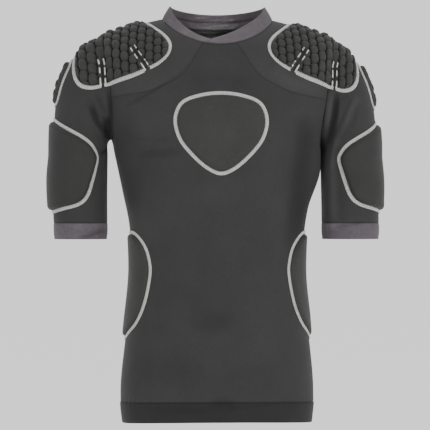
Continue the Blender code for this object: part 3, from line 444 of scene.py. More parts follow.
def sleeve_angles(loop):
    """Where points of the armhole go round the arm, by their shares of the edge."""
    along = along_curve(closed_loop(loop))
    half = len(loop) // 2
    up = pi * along[: half + 1] / along[half]
    down = pi + pi * (along[half + 1 : -1] - along[half]) / (along[-1] - along[half])
    return np.concatenate((up, down))


def sleeve_grid(half, cap_rows, tube_rows):
    """The sleeve at +X, in rings from the armhole to the seam of the cuff."""
    loop = armhole_loop(half)
    angles = sleeve_angles(loop)
    arm = ring_points(SLEEVE[0], angles)
    outward = ((1 - np.cos(angles)) / 2)[:, None]
    droop = CAP_DROOP["underarm"] * (1 - outward) + CAP_DROOP["tip"] * outward
    leave = np.hstack((np.cos(droop), np.zeros_like(droop), np.sin(droop)))
    reach = np.linalg.norm(arm - loop, axis=1)[:, None]
    first = loop + leave * reach * CAP_LEAVE
    second = arm + np.array((0, 0, 1)) * reach * CAP_ARRIVE
    t = graded(cap_rows, SLEEVE_EDGE)[: -len(EDGE_SHARES), None, None]
    cap = loop * (1 - t) ** 3 + first * 3 * t * (1 - t) ** 2 + second * 3 * t * t * (1 - t) + arm * t**3
    places = (len(SLEEVE) - 1) * graded(tube_rows, SLEEVE_EDGE)[len(EDGE_SHARES) - 1 :]
    return np.concatenate((cap, ring_points(blend(SLEEVE, places), angles)))


def neck_ring(half):
    """(face, angles) round the neckline, from the centre front by +X to the back and on."""
    turn = np.linspace(0, pi / 2, half + 1)
    return [("front", turn), ("back", turn[-2::-1]), ("back", -turn[1:]), ("front", -turn[-2:0:-1])]


def collar_grid(half, rows):
    """The collar, from the neckline to its top edge, which falls to a V in front."""
    ring = neck_ring(half)
    base = np.concatenate([section_points(BODY[NECKLINE], face, turn) for face, turn in ring])
    top = np.concatenate(
        [
            section_points(COLLAR_TOP, face, turn, COLLAR_FALL[face], COLLAR_TURN[face], COLLAR_POINT[face])
            for face, turn in ring
        ]
    )
    share = np.linspace(0, 1, rows)[:, None, None]
    return base * (1 - share) + top * share


def on_side(grid, sign):
    """A grid of the +X side, or its mirror image, turned to face out."""
    return grid if sign > 0 else grid[:, ::-1] * np.array((-1, 1, 1))


def sides_of(name):
    """(ending, sign) of the name of each piece of a kind."""
    return (("", 1),) if name in SINGLE else BOTH_SIDES


def normals_of(grid, closed):
    """Outward normals at the points of a grid whose rows may close round."""
    if closed:
        across = np.roll(grid, -1, axis=1) - np.roll(grid, 1, axis=1)
    else:
        across = np.gradient(grid, axis=1)
    return unit(np.cross(across, np.gradient(grid, axis=0)))


def as_hung(x, y, z):
    """Where points of the even cut go as the garment tilts, leans, twists, fills out and sags."""
    raised = smooth_step((z - LEAN_LOW) / (LEAN_HIGH - LEAN_LOW))
    lean_from = LEAN_FROM_LOW + (LEAN_FROM_HIGH - LEAN_FROM_LOW) * raised
    upper = smooth_step((z - TILT_FLOOR) / (TILT_CEILING - TILT_FLOOR))
    z = z - TILT * x * smooth_step(np.abs(x) / TILT_REACH) * upper
    x = x - LEAN * smooth_step((np.abs(x) - lean_from) / LEAN_BLEND)
    beside = smooth_step((np.abs(x) - TWIST_FROM) / TWIST_WIDTH)
    sleeve = beside * smooth_step((TWIST_TOP - z) / TWIST_BLEND)
    twist = TWIST * sleeve
    out_x, out_y = x - np.sign(x) * ARM_AXIS[0] + LEAN, y - ARM_AXIS[1]
    x, y = (
        x + out_x * (np.cos(twist) - 1) - out_y * np.sin(twist),
        y + out_y * (np.cos(twist) - 1) + out_x * np.sin(twist),
    )
    outer = SPREAD_OUT + SPREAD_END * smooth_step((SPREAD_FROM - z) / SPREAD_BLEND)
    fuller, narrower = np.where(out_x < 0, SPREAD_IN, outer), np.where(out_x < 0, -NARROW_OUT, 0.0)
    x = x + out_x * sleeve * np.where(x > 0, fuller, narrower)
    side = smooth_step((x - SAG_FROM) / SAG_WIDTH) * (1 - smooth_step((x - SAG_END) / SAG_END_WIDTH))
    return x + SAG * side * bump((z - SAG_HEIGHT) / SAG_REACH), y, z


def as_worn(points):
    """Where points of the even cut go in wear, and how deep creases sink them, below 0 on ridges."""
    x, y, z = as_hung(*np.array(points, float).reshape(-1, 3).T)
    seen = np.stack((x, z), axis=1)
    sunk = np.zeros_like(x)
    for fold in FOLDS:
        sunk = np.maximum(sunk, fold.depth * bump(path_gap(fold.path, seen)[0] / fold.half_width))
    moved = sunk * smooth_step(-y / FOLD_FADE)
    depth = np.zeros_like(x)
    for crease in CREASES:
        gap, share = path_gap(crease.path, seen)
        fade = smooth_step(crease.face * y / FOLD_FADE) * (1 - (2 * share - 1) ** 4)
        sunk = crease.depth * bump(gap / crease.half_width) * fade
        moved -= crease.face * sunk
        depth = np.where(np.abs(sunk) > np.abs(depth), sunk, depth)
    for wave in WAVES:
        level = np.sin(2 * pi * (x / wave.across + z / wave.up) + wave.phase)
        moved += wave.height * level * smooth_step(np.abs(y) / FOLD_FADE) * np.sign(y)
    return np.stack((x, y + moved, z), axis=1), depth


# Materials
LOOP_HEIGHT, SPECK_SCALE, SPECK_SHARE, KNIT_UNEVEN = 0.0003, 260.0, 0.55, 0.08
STRAND_PITCH, STRAND_HEIGHT, STRAND_BUMP, THREAD_UNEVEN = 0.0004, 0.0001, 0.3, 0.1
MIX_LIMITS = (0.3, 0.7)
Knit = namedtuple("Knit", "dark light roughness sheen wale course bump clouds")
KNIT_LOOKS = {
    "body": Knit((0.020,) * 3, (0.028,) * 3, 0.70, 0.06, 0.0011, 0.0009, 0.5, 16.0),
    # The yoke knit is the body knit made lighter: painted light on the yokes, which face up
    "yoke": Knit((0.0235,) * 3, (0.0325,) * 3, 0.70, 0.06, 0.0011, 0.0009, 0.5, 16.0),
    "pad": Knit((0.0218, 0.0218, 0.0213), (0.0302, 0.0302, 0.0292), 0.62, 0.06, 0.0012, 0.0010, 0.5, 20.0),
    # The arm pads' knit is the pad knit made darker: painted shade on the arm pads
    "arm": Knit((0.018, 0.018, 0.0176), (0.025, 0.025, 0.0245), 0.62, 0.06, 0.0012, 0.0010, 0.5, 20.0),
    "cell": Knit((0.021, 0.021, 0.0205), (0.031, 0.031, 0.030), 0.60, 0.08, 0.0012, 0.0010, 0.4, 60.0),
    "rib": Knit((0.057, 0.048, 0.055), (0.089, 0.079, 0.088), 0.80, 0.10, 0.0024, 0.0011, 0.8, 45.0),
}


def nodes_of(name):
    material = bpy.data.materials.new(name)
    material.use_nodes = True
    tree = material.node_tree
    return material, tree, tree.nodes["Principled BSDF"]


def fill_inputs(node, values=(), links=()):
    """Set inputs of a node to values and to the outputs of other nodes."""
    for key, value in dict(values).items():
        node.inputs[key].default_value = value
    for key, output in dict(links).items():
        node.id_data.links.new(output, node.inputs[key])


def add_node(tree, kind, settings=(), values=(), links=()):
    node = tree.nodes.new(f"ShaderNode{kind}")
    for key, value in dict(settings).items():
        setattr(node, key, value)
    fill_inputs(node, values, links)
    return node


def attribute(tree, name, output):
    return add_node(tree, "Attribute", {"attribute_name": name}).outputs[output]


def texture(tree, kind, place, values, settings=()):
    return add_node(tree, f"Tex{kind}", settings, values, {"Vector": place}).outputs["Fac"]


def combined(tree, operation, values):
    return add_node(tree, "Math", {"operation": operation}, (), dict(enumerate(values))).outputs["Value"]


def between(tree, value, low, high):
    limits = {"To Min": low, "To Max": high}
    return add_node(tree, "MapRange", (), limits, {"Value": value}).outputs["Result"]


def bump_from(tree, height, strength, distance):
    values = {"Strength": strength, "Distance": distance}
    return add_node(tree, "Bump", (), values, {"Height": height}).outputs["Normal"]


def wave_scale(pitch):
    """The scale at which a wave texture repeats at a pitch."""
    return pi / (10 * pitch)


def two_colours(tree, mix, dark, light):
    """A blend of two colours by a mixing value."""
    ramp = add_node(tree, "ValToRGB", links={"Fac": mix})
    for element, colour, place in zip(ramp.color_ramp.elements, (dark, light), MIX_LIMITS):
        element.color = (*colour, 1)
        element.position = place
    return ramp.outputs["Color"]


def knit_material(name, knit):
    """A knitted cloth: wales and courses in relief, uneven colour and gloss, painted shade in creases,
    seams, hem and pits, painted light on ridges.
    """
    material, tree, shader = nodes_of(name)
    weave, painted_shading = attribute(tree, "weave", "Vector"), attribute(tree, "painted_shading", "Fac")
    place = add_node(tree, "TexCoord").outputs["Object"]
    rows = []
    for direction, pitch in (("X", knit.wale), ("Y", knit.course)):
        values = {"Scale": wave_scale(pitch), "Distortion": 0.6, "Detail": 1.0}
        rows.append(texture(tree, "Wave", weave, values, {"bands_direction": direction}))
    scales = (SPECK_SCALE, knit.clouds)
    specks, clouds = (texture(tree, "Noise", place, {"Scale": scale, "Detail": 3.0}) for scale in scales)
    mix = (between(tree, specks, 0.0, SPECK_SHARE), between(tree, clouds, 0.0, 1 - SPECK_SHARE))
    colour = two_colours(tree, combined(tree, "ADD", mix), knit.dark, knit.light)
    # Painted shade and painted light: the colour times each piece's painted shading
    shaded = add_node(tree, "VectorMath", {"operation": "MULTIPLY"}, (), {0: colour, 1: painted_shading})
    gloss = between(tree, specks, knit.roughness - KNIT_UNEVEN, knit.roughness + KNIT_UNEVEN)
    relief = bump_from(tree, combined(tree, "MULTIPLY", rows), knit.bump, LOOP_HEIGHT)
    fill_inputs(
        shader,
        {"Sheen Weight": knit.sheen, "Sheen Roughness": 0.5, "Specular IOR Level": 0.12},
        {"Base Color": shaded.outputs["Vector"], "Roughness": gloss, "Normal": relief},
    )
    return material


def thread_material(name, dark, light, roughness):
    """Twisted thread: fine slanted strands and an uneven colour."""
    material, tree, shader = nodes_of(name)
    place = add_node(tree, "TexCoord").outputs["Object"]
    uneven = texture(tree, "Noise", place, {"Scale": 420.0, "Detail": 2.0})
    colour = two_colours(tree, uneven, dark, light)
    gloss = between(tree, uneven, roughness - THREAD_UNEVEN, roughness + THREAD_UNEVEN)
    values = {"Scale": wave_scale(STRAND_PITCH), "Distortion": 1.0}
    strands = texture(tree, "Wave", place, values, {"bands_direction": "DIAGONAL"})
    relief = bump_from(tree, strands, STRAND_BUMP, STRAND_HEIGHT)
    links = {"Base Color": colour, "Roughness": gloss, "Normal": relief}
    fill_inputs(shader, {"Specular IOR Level": 0.3}, links)
    return material


KNITS = {name: knit_material(f"{name}_knit", look) for name, look in KNIT_LOOKS.items()}
SILVER = thread_material("silver_thread", (0.40, 0.40, 0.38), (0.60, 0.60, 0.575), 0.45)
GROUND = thread_material("silver_ground", (0.20, 0.20, 0.19), (0.34, 0.34, 0.325), 0.55)
BLACK = thread_material("black_thread", (0.013,) * 3, (0.021,) * 3, 0.55)


# Meshes
def add_object(name, data):
    thing = bpy.data.objects.new(name, data)
    bpy.context.scene.collection.objects.link(thing)
    return thing


def add_piece(name, points, faces, material, slot, weave=None, painted_shading=1.0, sign=1):
    """A piece from points of the even cut, or of its mirror image, that moves with the part."""
    mesh = bpy.data.meshes.new(name)
    if sign < 0:
        faces = [face[::-1] for face in faces]
    worn, depth = as_worn(points * np.array((sign, 1, 1)))
    mesh.from_pydata(worn.tolist(), [], faces)
    mesh.shade_smooth()
    if weave is not None:
        layer = mesh.attributes.new("weave", "FLOAT_VECTOR", "POINT")
        layer.data.foreach_set("vector", np.pad(weave, ((0, 0), (0, 1))).ravel())
        layer = mesh.attributes.new("painted_shading", "FLOAT", "POINT")
        # Painted shade in the troughs of creases and painted light on their ridges
        trough, ridge = smooth_step(depth / CREASE_DEEP), smooth_step(-depth / CREASE_DEEP)
        layer.data.foreach_set("value", painted_shading * (1 - CREASE_SHADE * trough + RIDGE_LIGHT * ridge))
    mesh.materials.append(material)
    piece = add_object(name, mesh)
    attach(piece, "root")
    return piece


def thicken(piece, wall):
    solid = piece.modifiers.new("thickness", "SOLIDIFY")
    solid.thickness = wall
    solid.offset = -1


def grid_faces(rows, columns, closed):
    """Quads of a grid of points, whose rows may close round, facing out."""
    i, j = np.meshgrid(np.arange(rows - 1), np.arange(columns if closed else columns - 1), indexing="ij")
    low, high, after = i * columns, (i + 1) * columns, (j + 1) % columns
    return np.stack((low + j, low + after, high + after, high + j), axis=-1).reshape(-1, 4)


def faces_out(points, quads, outward):
    """Whether quads face along the outward directions of the points."""
    a, b, c = (points[quads[:, k]] for k in range(3))
    return (np.cross(b - a, c - a) * outward[quads[:, 0]]).sum() > 0


def weave_of(grid):
    """Distances across and along a grid of cloth, for its weave."""
    return np.stack((across_rows(grid), along_curve(grid)), axis=-1).reshape(-1, 2)


def edge_gap(grid, sides, ends):
    """Distance of each point of a grid from its sewn edges."""
    across, along = across_rows(grid), along_curve(grid)
    gap = np.full(grid.shape[:2], np.inf)
    if sides:
        gap = np.minimum(across, across[:, -1:] - across)
    for end in ends:
        gap = np.minimum(gap, along if end == 0 else along[-1:] - along)
    return gap


def near_seam(gap):
    """1 at a seam, falling to 0 beside it."""
    return 1 - smooth_step(gap / SEAM_REACH)


def hem_look(grid, heights):
    """Relief of the hem, proud below its drawn-in stitching, tucked in at its end, with painted shade over
    the hem and along its groove.
    """
    below = (HEM_HEIGHT - heights)[:, None]
    across = across_rows(grid)
    wander = np.sin(across[..., None] / PUCKER_LENGTHS + PUCKER_PHASES) @ PUCKER_TURNS
    pucker = PUCKER * np.sin(2 * pi * across / PUCKER_PITCH + wander)
    line = np.exp(-((below / HEM_GROOVE_HALF) ** 2))
    relief = (
        HEM_RISE * smooth_step(below / HEM_STEP + 0.5)
        - HEM_TUCK * np.clip(below / below[0], 0.0, 1.0) ** HEM_TUCK_POWER
        - HEM_GROOVE * line
        + pucker * np.exp(-((below / PUCKER_REACH) ** 2))
    )
    # Painted shade: the hem darker than the cloth above, darkest along the groove
    shade = HEM_SHADE * smooth_step(below / HEM_SHADE_STEP + 0.5)
    return relief, (1 - shade) * (1 - HEM_LINE_SHADE * line)


surfaces, cloth = {}, {}


def sheet_piece(name, grid, closed, material, sides, ends, relief=0.0, painted_shading=1.0):
    """A sheet of cloth of real thickness, its outside on a grid, drawn in at its seams."""
    seam = near_seam(edge_gap(grid, sides, ends))
    normals = normals_of(grid, closed)
    surface = grid + normals * (relief - SEAM_DIP * seam)[..., None]
    surfaces[name] = np.concatenate((surface, normals), axis=-1)
    points, faces = surface.reshape(-1, 3), grid_faces(*grid.shape[:2], closed).tolist()
    # Painted shade along the seams
    painted_shading = (painted_shading * (1 - SEAM_SHADE * seam)).ravel()
    cloth[name] = add_piece(f"{name}_cloth", points, faces, material, "black_knit", weave_of(grid), painted_shading)
    thicken(cloth[name], SHELL_WALL)
    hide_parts(name)


PANELS = {face: panel_grid(face, *PANEL_GRIDS[face]) for face in FACES}
yoke, sleeve = yoke_grid(*YOKE_GRID), sleeve_grid(*SLEEVE_GRID)
for name, (grid, heights) in PANELS.items():
    sheet_piece(name, grid, False, KNITS["body"], True, (1,), *hem_look(grid, heights))
for ending, sign in BOTH_SIDES:
    sheet_piece(f"yoke{ending}", on_side(yoke, sign), False, KNITS["yoke"], True, (0, 1))
    sheet_piece(f"sleeve{ending}", on_side(sleeve, sign), True, KNITS["body"], False, (1,))


def band_piece(name, grid, outer, inner, inner_painted_shade):
    """A folded band: its outside on a grid, its inside a wall's thickness within, its fold rounded."""
    normals = normals_of(grid, True)
    outside = grid + normals * outer[..., None]
    inside = grid - normals * (RIB_WALL + inner[..., None])
    middle = (outside[-1] + inside[-1]) / 2
    rise = unit(grid[-1] - grid[-2]) * RIB_WALL * BAND_RISE
    rounds = [middle + (edge - middle) * BAND_ROUND + rise for edge in (outside[-1], inside[-1])]
    rows = np.concatenate((outside, np.array(rounds), inside[::-1], outside[:1]))
    columns, count = grid.shape[1], len(rows) - 1
    faces = (grid_faces(len(rows), columns, True) % (count * columns)).tolist()
    points, weave = rows[:-1].reshape(-1, 3), weave_of(rows)[: count * columns]
    # Painted shade along the sewn edge outside, and the given painted shade inside
    outer_painted_shade = 1 - SEAM_SHADE * near_seam(along_curve(grid))
    painted_shading = np.concatenate((outer_painted_shade, np.ones((2, columns)), inner_painted_shade[::-1])).ravel()
    cloth[name] = add_piece(f"{name}_band", points, faces, KNITS["rib"], "grey_rib", weave, painted_shading)
    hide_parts(name)


def up_the_band(grid):
    """Shares of the way up a band at the points of its grid."""
    return np.linspace(0, 1, grid.shape[0])[:, None] * np.ones(grid.shape[1])


def swell(share):
    return 4 * share * (1 - share)


def sewn_line(share, at):
    """1 on a line sewn along a band, falling to 0 beside it."""
    return np.exp(-(((share - at) / BAND_LINE_HALF) ** 2))


def add_collar():
    """The collar, lapped in front, with a line sewn round its inside."""
    grid = collar_grid(*COLLAR_GRID)
    share = up_the_band(grid)
    turns = [
        turn if face == "front" else np.where(turn < 0, -pi, pi) - turn
        for face, turn in neck_ring(COLLAR_GRID[0])
    ]
    past = np.concatenate(turns) - (LAP_LOW + (LAP_HIGH - LAP_LOW) * share)
    lap = LAP * smooth_step(past / LAP_EDGE) * (1 - smooth_step(past / LAP_FADE))
    line = sewn_line(share, COLLAR_LINE_AT)
    inner = COLLAR_INNER_SWELL * swell(share) - COLLAR_GROOVE * line
    # Painted shade along the groove of the line sewn inside
    band_piece("collar", grid, COLLAR_SWELL * swell(share) + lap, inner, 1 - COLLAR_LINE_SHADE * line)


def add_cuffs():
    """The cuffs, each with a line sewn round near its end."""
    rings = blend([SLEEVE[-1], CUFF_END], np.linspace(0, 1, CUFF_ROWS))
    grid = ring_points(rings, sleeve_angles(armhole_loop(SLEEVE_GRID[0])))
    share = up_the_band(grid)
    outer = CUFF_SWELL * swell(share) - CUFF_GROOVE * sewn_line(share, CUFF_LINE_AT)
    inner = CUFF_INNER_SWELL * swell(share)
    for ending, sign in BOTH_SIDES:
        band_piece(f"cuff{ending}", on_side(grid, sign), outer, inner, np.ones_like(share))


add_collar()
add_cuffs()


# Pads. A chart's rays go out through the cloth from flat places.
LEFT, AHEAD, UP = np.eye(3) * (1, -1, 1)


def chest_rays(flat):
    """Rays straight ahead, from distances to the left and up."""
    return flat[:, :1] * LEFT + flat[:, 1:] * UP, np.tile(AHEAD, (len(flat), 1))


def round_rays(start, line, out, side, radius, narrowing=0.0, along=0):
    """Rays from a line: one flat distance is along it, the other round it from out to side."""

    def rays(flat):
        way, around = flat[:, along, None], flat[:, 1 - along, None]
        angle = around / (radius - narrowing * way)
        return np.array(start) + line * way, out * np.cos(angle) + side * np.sin(angle)

    return rays


def shoulder_flat(along, degrees):
    return along, radians(degrees) * (SHOULDER_RADIUS - SHOULDER_NARROWING * along)


class Cover:
    """The cloth under a pad: it places flat points on the cloth or above it."""

    def __init__(self, rays, *sheets):
        self.rays = rays
        points, faces = [], []
        for grid, closed in sheets:
            faces += (grid_faces(*grid.shape[:2], closed) + len(points)).tolist()
            points += grid.reshape(-1, 3).tolist()
        self.tree = BVHTree.FromPolygons(points, faces)

    def hit(self, origin, direction):
        tries = (self.tree.ray_cast(origin + OFF_A_CORNER * k, direction)[0] for k in range(RAY_TRIES))
        return next(found for found in tries if found)

    def place(self, flat, above):
        origins, directions = self.rays(flat)
        found = [self.hit(Vector(o), Vector(d)) for o, d in zip(origins, directions)]
        return np.array(found) + directions * (PAD_LIFT + np.broadcast_to(above, len(flat))[:, None])


def evenly(fine, count):
    return resampled(fine, np.linspace(0, along_curve(fine)[-1], count, endpoint=False))


def smooth_loop(rows, count):
    """Evenly spaced points of a closed smooth curve through the rows."""
    rows = np.array(rows, float)
    size = len(rows)
    turn = rows[np.arange(-1, size + 2) % size]
    return evenly(blend(turn, 1 + size * np.linspace(0, 1, FINE_TURNS)), count)


def both_halves(half):
    return half + [(-across, height) for across, height in half[-2:0:-1]]


def rounded_loop(centre, half, power, count):
    """Evenly spaced points of a rounded rectangle."""
    turns = np.linspace(0, 2 * pi, FINE_TURNS)
    waves = np.stack((np.cos(turns), np.sin(turns)), axis=1)
    return evenly(np.array(centre) + np.sign(waves) * np.abs(waves) ** (2 / power) * np.array(half), count)


def sewn_edge(border, centre):
    """Where the foam rises inside the border's sewing."""
    out = border - np.array(centre)
    return np.array(centre) + out * (1 - (SEWN_HALF - EDGE_TUCK) / np.linalg.norm(out, axis=1)[:, None])


def edge_profile(gap):
    """The rounded rise of a pad from its sewn edge: 0 to 1."""
    return np.sqrt(1 - (1 - np.clip(gap / EDGE_RISE, 0.0, 1.0)) ** 2)


def smooth_relief(foam):
    """Height and shade of a plain pad, with a rounded, puckered edge and a slight crown."""

    def relief(flat, gap):
        out = flat - flat.mean(axis=0)
        angle = np.arctan2(out[:, 1], out[:, 0])
        ripple = np.sin(RIPPLE_COUNT * angle + RIPPLE_DRIFT * np.sin(RIPPLE_DRIFTS * angle))
        height = (
            foam * edge_profile(gap)
            + CROWN * smooth_step(gap / CROWN_REACH)
            + RIPPLE * ripple * np.exp(-((gap / RIPPLE_REACH) ** 2))
            + SOFT_WAVE * np.sin(flat / SOFT_LENGTHS + SOFT_PHASES).prod(axis=1)
        )
        return height, np.ones(len(flat))

    return relief


def pillows(flat, turn):
    """Shares of the height of pillows in columns, each half a cell out of step with the next."""
    along = (flat[:, 0] * cos(turn) + flat[:, 1] * sin(turn)) / CELL
    across = (flat[:, 1] * cos(turn) - flat[:, 0] * sin(turn)) / CELL
    column = np.floor(along + 0.5)
    shifted = across - np.mod(column, 2) / 2 + CELL_SLANT * (along - column)
    row = np.floor(shifted + 0.5)
    beside, beyond = 2 * np.abs(along - column), 2 * np.abs(shifted - row)
    out = CELL_TIGHT * (beside**CELL_DOME + (CELL_LINK * beyond) ** CELL_DOME)
    uneven = 1 - CELL_UNEVEN * (1 + np.sin(column * COLUMN_STEP + row * ROW_STEP)) / 2
    return np.clip(1 - out, 0.0, 1.0) ** CELL_SOFT * uneven


def cell_relief(foam, turn, slits=()):
    """Height of a pad of raised cells, pressed flat beside its slits, with painted shade in the pits
    between cells and in the slits' grooves.
    """

    def relief(flat, gap):
        rise = pillows(flat, turn)
        # Painted shade in the pits between the cells
        painted_shading = 1 - PIT_SHADE * (1 - smooth_step(rise / PIT_TOP))
        for slit in slits:
            apart, share = path_gap(slit.ends, flat)
            groove = 1 - smooth_step((apart - SLIT_GROOVE) / SLIT_GROOVE_SIDE)
            pressed = 1 - smooth_step((apart - SLIT_SHELF) / SLIT_SHELF_SIDE)
            cut = (1 - SLIT_SHELF_HEIGHT) * pressed + SLIT_SHELF_HEIGHT * groove
            lowest = 1 - smooth_step(share / SLIT_OPENS) * cut
            rise = np.minimum(rise, SLIT_FLOOR + (1 - SLIT_FLOOR) * lowest)
            # Beside a slit, painted shade in its groove in place of that in the pits
            painted_shading = painted_shading * (1 - pressed) + (1 - SLIT_SHADE * groove) * pressed
        return foam * edge_profile(gap) * rise, painted_shading

    return relief


def rings_of(edge, middle, rings, power):
    """Flat points in rings from an edge to the middle, and the middle."""
    share = (np.linspace(0, 1, rings + 1)[:-1] ** power)[:, None, None]
    return np.vstack(((edge * (1 - share) + middle * share).reshape(-1, 2), middle[None]))


def disc_faces(rings, count):
    """Faces of rings of points round a middle one."""
    around, last = np.arange(count), (rings - 1) * count
    fan = np.stack((last + around, last + (around + 1) % count, np.full(count, rings * count)), axis=1)
    return grid_faces(rings, count, True).tolist() + fan.tolist()


Pad = namedtuple("Pad", "cover border centre around rings relief knit slits", defaults=((),))


def pad_pieces(name, pad):
    """The pads of a kind: a raised top inside the sewn border, an underside on the cloth."""
    edge, middle = sewn_edge(pad.border(pad.around), pad.centre), np.array(pad.centre)
    count = len(edge)
    top_flat = rings_of(edge, middle, pad.rings, RING_POWER)
    low_flat = rings_of(edge, middle, LOW_RINGS, 1.0)
    height, painted_shading = pad.relief(top_flat, path_gap(closed_loop(edge), top_flat)[0])
    top, low = pad.cover.place(top_flat, height), pad.cover.place(low_flat, -PAD_LIFT / 2)
    start, around = len(top), np.arange(count)
    after = (around + 1) % count
    faces = disc_faces(pad.rings, count)
    faces += [[start + corner for corner in face[::-1]] for face in disc_faces(LOW_RINGS, count)]
    faces += np.stack((start + around, start + after, after, around), axis=1).tolist()
    if not faces_out(top, grid_faces(pad.rings, count, True), pad.cover.rays(top_flat)[1]):
        faces = [face[::-1] for face in faces]
    points, weave = np.vstack((top, low)), np.vstack((top_flat, low_flat))
    painted_shading = np.concatenate((painted_shading, np.ones(len(low))))
    knit = KNITS[pad.knit]
    for ending, sign in sides_of(name):
        piece = add_piece(f"{name}{ending}_foam", points, faces, knit, "padded_knit", weave, painted_shading, sign)
        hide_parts(name + ending)


front, back = (grid for grid, _ in PANELS.values())
rib_rays, arm_rays = (
    round_rays((*axis, 0.0), UP, LEFT, AHEAD, radius, along=1)
    for axis, radius in ((RIB_AXIS, RIB_RADIUS), (ARM_AXIS, ARM_RADIUS))
)
outer_rays = round_rays((OUTER_AXIS[0], 0.0, OUTER_AXIS[1]), AHEAD, LEFT, UP, OUTER_RADIUS)
shoulder_line = unit(np.array(SHOULDER_ALONG))
shoulder_up = np.cross(AHEAD, shoulder_line)
shoulder_rays = round_rays(
    SHOULDER_START, shoulder_line, shoulder_up, AHEAD, SHOULDER_RADIUS, SHOULDER_NARROWING
)
chest_cover = Cover(chest_rays, (front, False))
rib_cover = Cover(rib_rays, (front, False), (back, False))
arm_cover, outer_cover = Cover(arm_rays, (sleeve, True)), Cover(outer_rays, (sleeve, True))
shoulder_cover = Cover(shoulder_rays, (front, False), (back, False), (yoke, False), (sleeve, True))

arm_half = [(radians(angle) * ARM_RADIUS, height) for angle, height in ARM_HALF]
shoulder_rows = [shoulder_flat(*row) for row in SHOULDER_BORDER]
chest_border, rib_border, arm_border = (
    partial(smooth_loop, both_halves(half)) for half in (CHEST_HALF, RIB_HALF, arm_half)
)
outer_border = partial(rounded_loop, OUTER_CENTRE, OUTER_HALF, OUTER_POWER)
shoulder_border = partial(smooth_loop, shoulder_rows)
shoulder_centre = shoulder_border(SHOULDER_POINTS).mean(axis=0)
slits = [slit._replace(ends=np.array([shoulder_flat(*end) for end in slit.ends])) for slit in SLITS]
outer_cells = cell_relief(OUTER_FOAM, 0.0)
shoulder_cells = cell_relief(SHOULDER_FOAM, CELL_TURN, slits)
PADS = {
    "chest_pad": Pad(chest_cover, chest_border, CHEST_CENTRE, 220, 34, smooth_relief(CHEST_FOAM), "pad"),
    "rib_pad": Pad(rib_cover, rib_border, RIB_CENTRE, 240, 36, smooth_relief(RIB_FOAM), "pad"),
    "arm_pad": Pad(arm_cover, arm_border, ARM_CENTRE, 260, 38, smooth_relief(ARM_FOAM), "arm"),
    "outer_pad": Pad(outer_cover, outer_border, OUTER_CENTRE, 200, 38, outer_cells, "cell"),
    "shoulder_pad": Pad(
        shoulder_cover, shoulder_border, shoulder_centre, 420, 84, shoulder_cells, "cell", slits
    ),
}
for name, pad in PADS.items():
    pad_pieces(name, pad)


# Sewing
def tubes(paths, radius, sides):
    """Points and faces of closed tubes of thread along short paths of equal count."""
    count, steps = paths.shape[:2]
    along = unit(np.gradient(paths, axis=1))
    side = unit(np.cross(along, np.roll(along, 1, axis=2) + OFF_THREAD))
    other = np.cross(along, side)
    turn = np.linspace(0, 2 * pi, sides, endpoint=False)
    thin = np.ones(steps)
    thin[[0, -1]] = THREAD_END
    ring = side[:, :, None] * np.cos(turn)[:, None] + other[:, :, None] * np.sin(turn)[:, None]
    points = paths[:, :, None] + ring * (radius * thin)[None, :, None, None]
    starts = np.arange(count)[:, None, None] * steps * sides
    walls = (grid_faces(steps, sides, True)[None] + starts).reshape(-1, 4).tolist()
    caps = np.stack((np.arange(sides)[::-1], (steps - 1) * sides + np.arange(sides)))
    return points.reshape(-1, 3), walls + (caps[None] + starts).reshape(-1, sides).tolist()


def joined(parts):
    """Points and faces of many parts as one."""
    points, faces, start = [], [], 0
    for part_points, part_faces in parts:
        points.append(part_points)
        faces += [[start + corner for corner in face] for face in part_faces]
        start += len(part_points)
    return np.concatenate(points), faces


def beside_loop(loop, centre, at, aside):
    """Flat places at distances along a closed loop, moved towards its middle."""
    length = along_curve(loop)[-1]
    here, ahead = (resampled(loop, np.mod(at + step, length)) for step in (0.0, TANGENT_STEP))
    tangent = unit(ahead - here)
    inward = np.stack((-tangent[:, 1], tangent[:, 0]), axis=1)
    inward *= np.sign(((np.array(centre) - here) * inward).sum(axis=1))[:, None]
    return here + inward * aside


def border_sewing(pad):
    """The silver sewing round a pad: zigzag threads over a ribbon, open at the slits."""
    loop = closed_loop(pad.border(FINE_BORDER))
    length = along_curve(loop)[-1]
    count = 2 * int(length / STITCH_PITCH / 2)
    at = np.linspace(0, length, count, endpoint=False)
    offsets = np.linspace(-SEWN_WIDTH / 2, SEWN_WIDTH / 2, SEWN_POINTS)
    slant = np.where(np.arange(count) % 2, STITCH_SLANT, -STITCH_SLANT)
    crown = 1 - (offsets / (SEWN_WIDTH / 2)) ** 2
    kept = np.ones(count, bool)
    for slit in pad.slits:
        kept &= path_gap(slit.ends, resampled(loop, at))[0] > slit.gap
    lines = [beside_loop(loop, pad.centre, at + slant * q / offsets[-1], q) for q in offsets]
    stitch_flat = np.stack(lines, axis=1)[kept].reshape(-1, 2)
    stitches = pad.cover.place(stitch_flat, np.tile(STITCH_CROWN * crown, kept.sum()))
    flat = np.stack([beside_loop(loop, pad.centre, at, q) for q in offsets], axis=1).reshape(-1, 2)
    ribbon = pad.cover.place(flat, np.tile(RIBBON_CROWN * crown - RIBBON_SINK, count))
    quads = grid_faces(count + 1, SEWN_POINTS, False) % (count * SEWN_POINTS)
    if not faces_out(ribbon, quads, pad.cover.rays(flat)[1]):
        quads = quads[:, ::-1]
    quads = quads[kept[quads // SEWN_POINTS].all(axis=1)]
    return tubes(stitches.reshape(-1, SEWN_POINTS, 3), THREAD, THREAD_SIDES), (ribbon, quads.tolist())


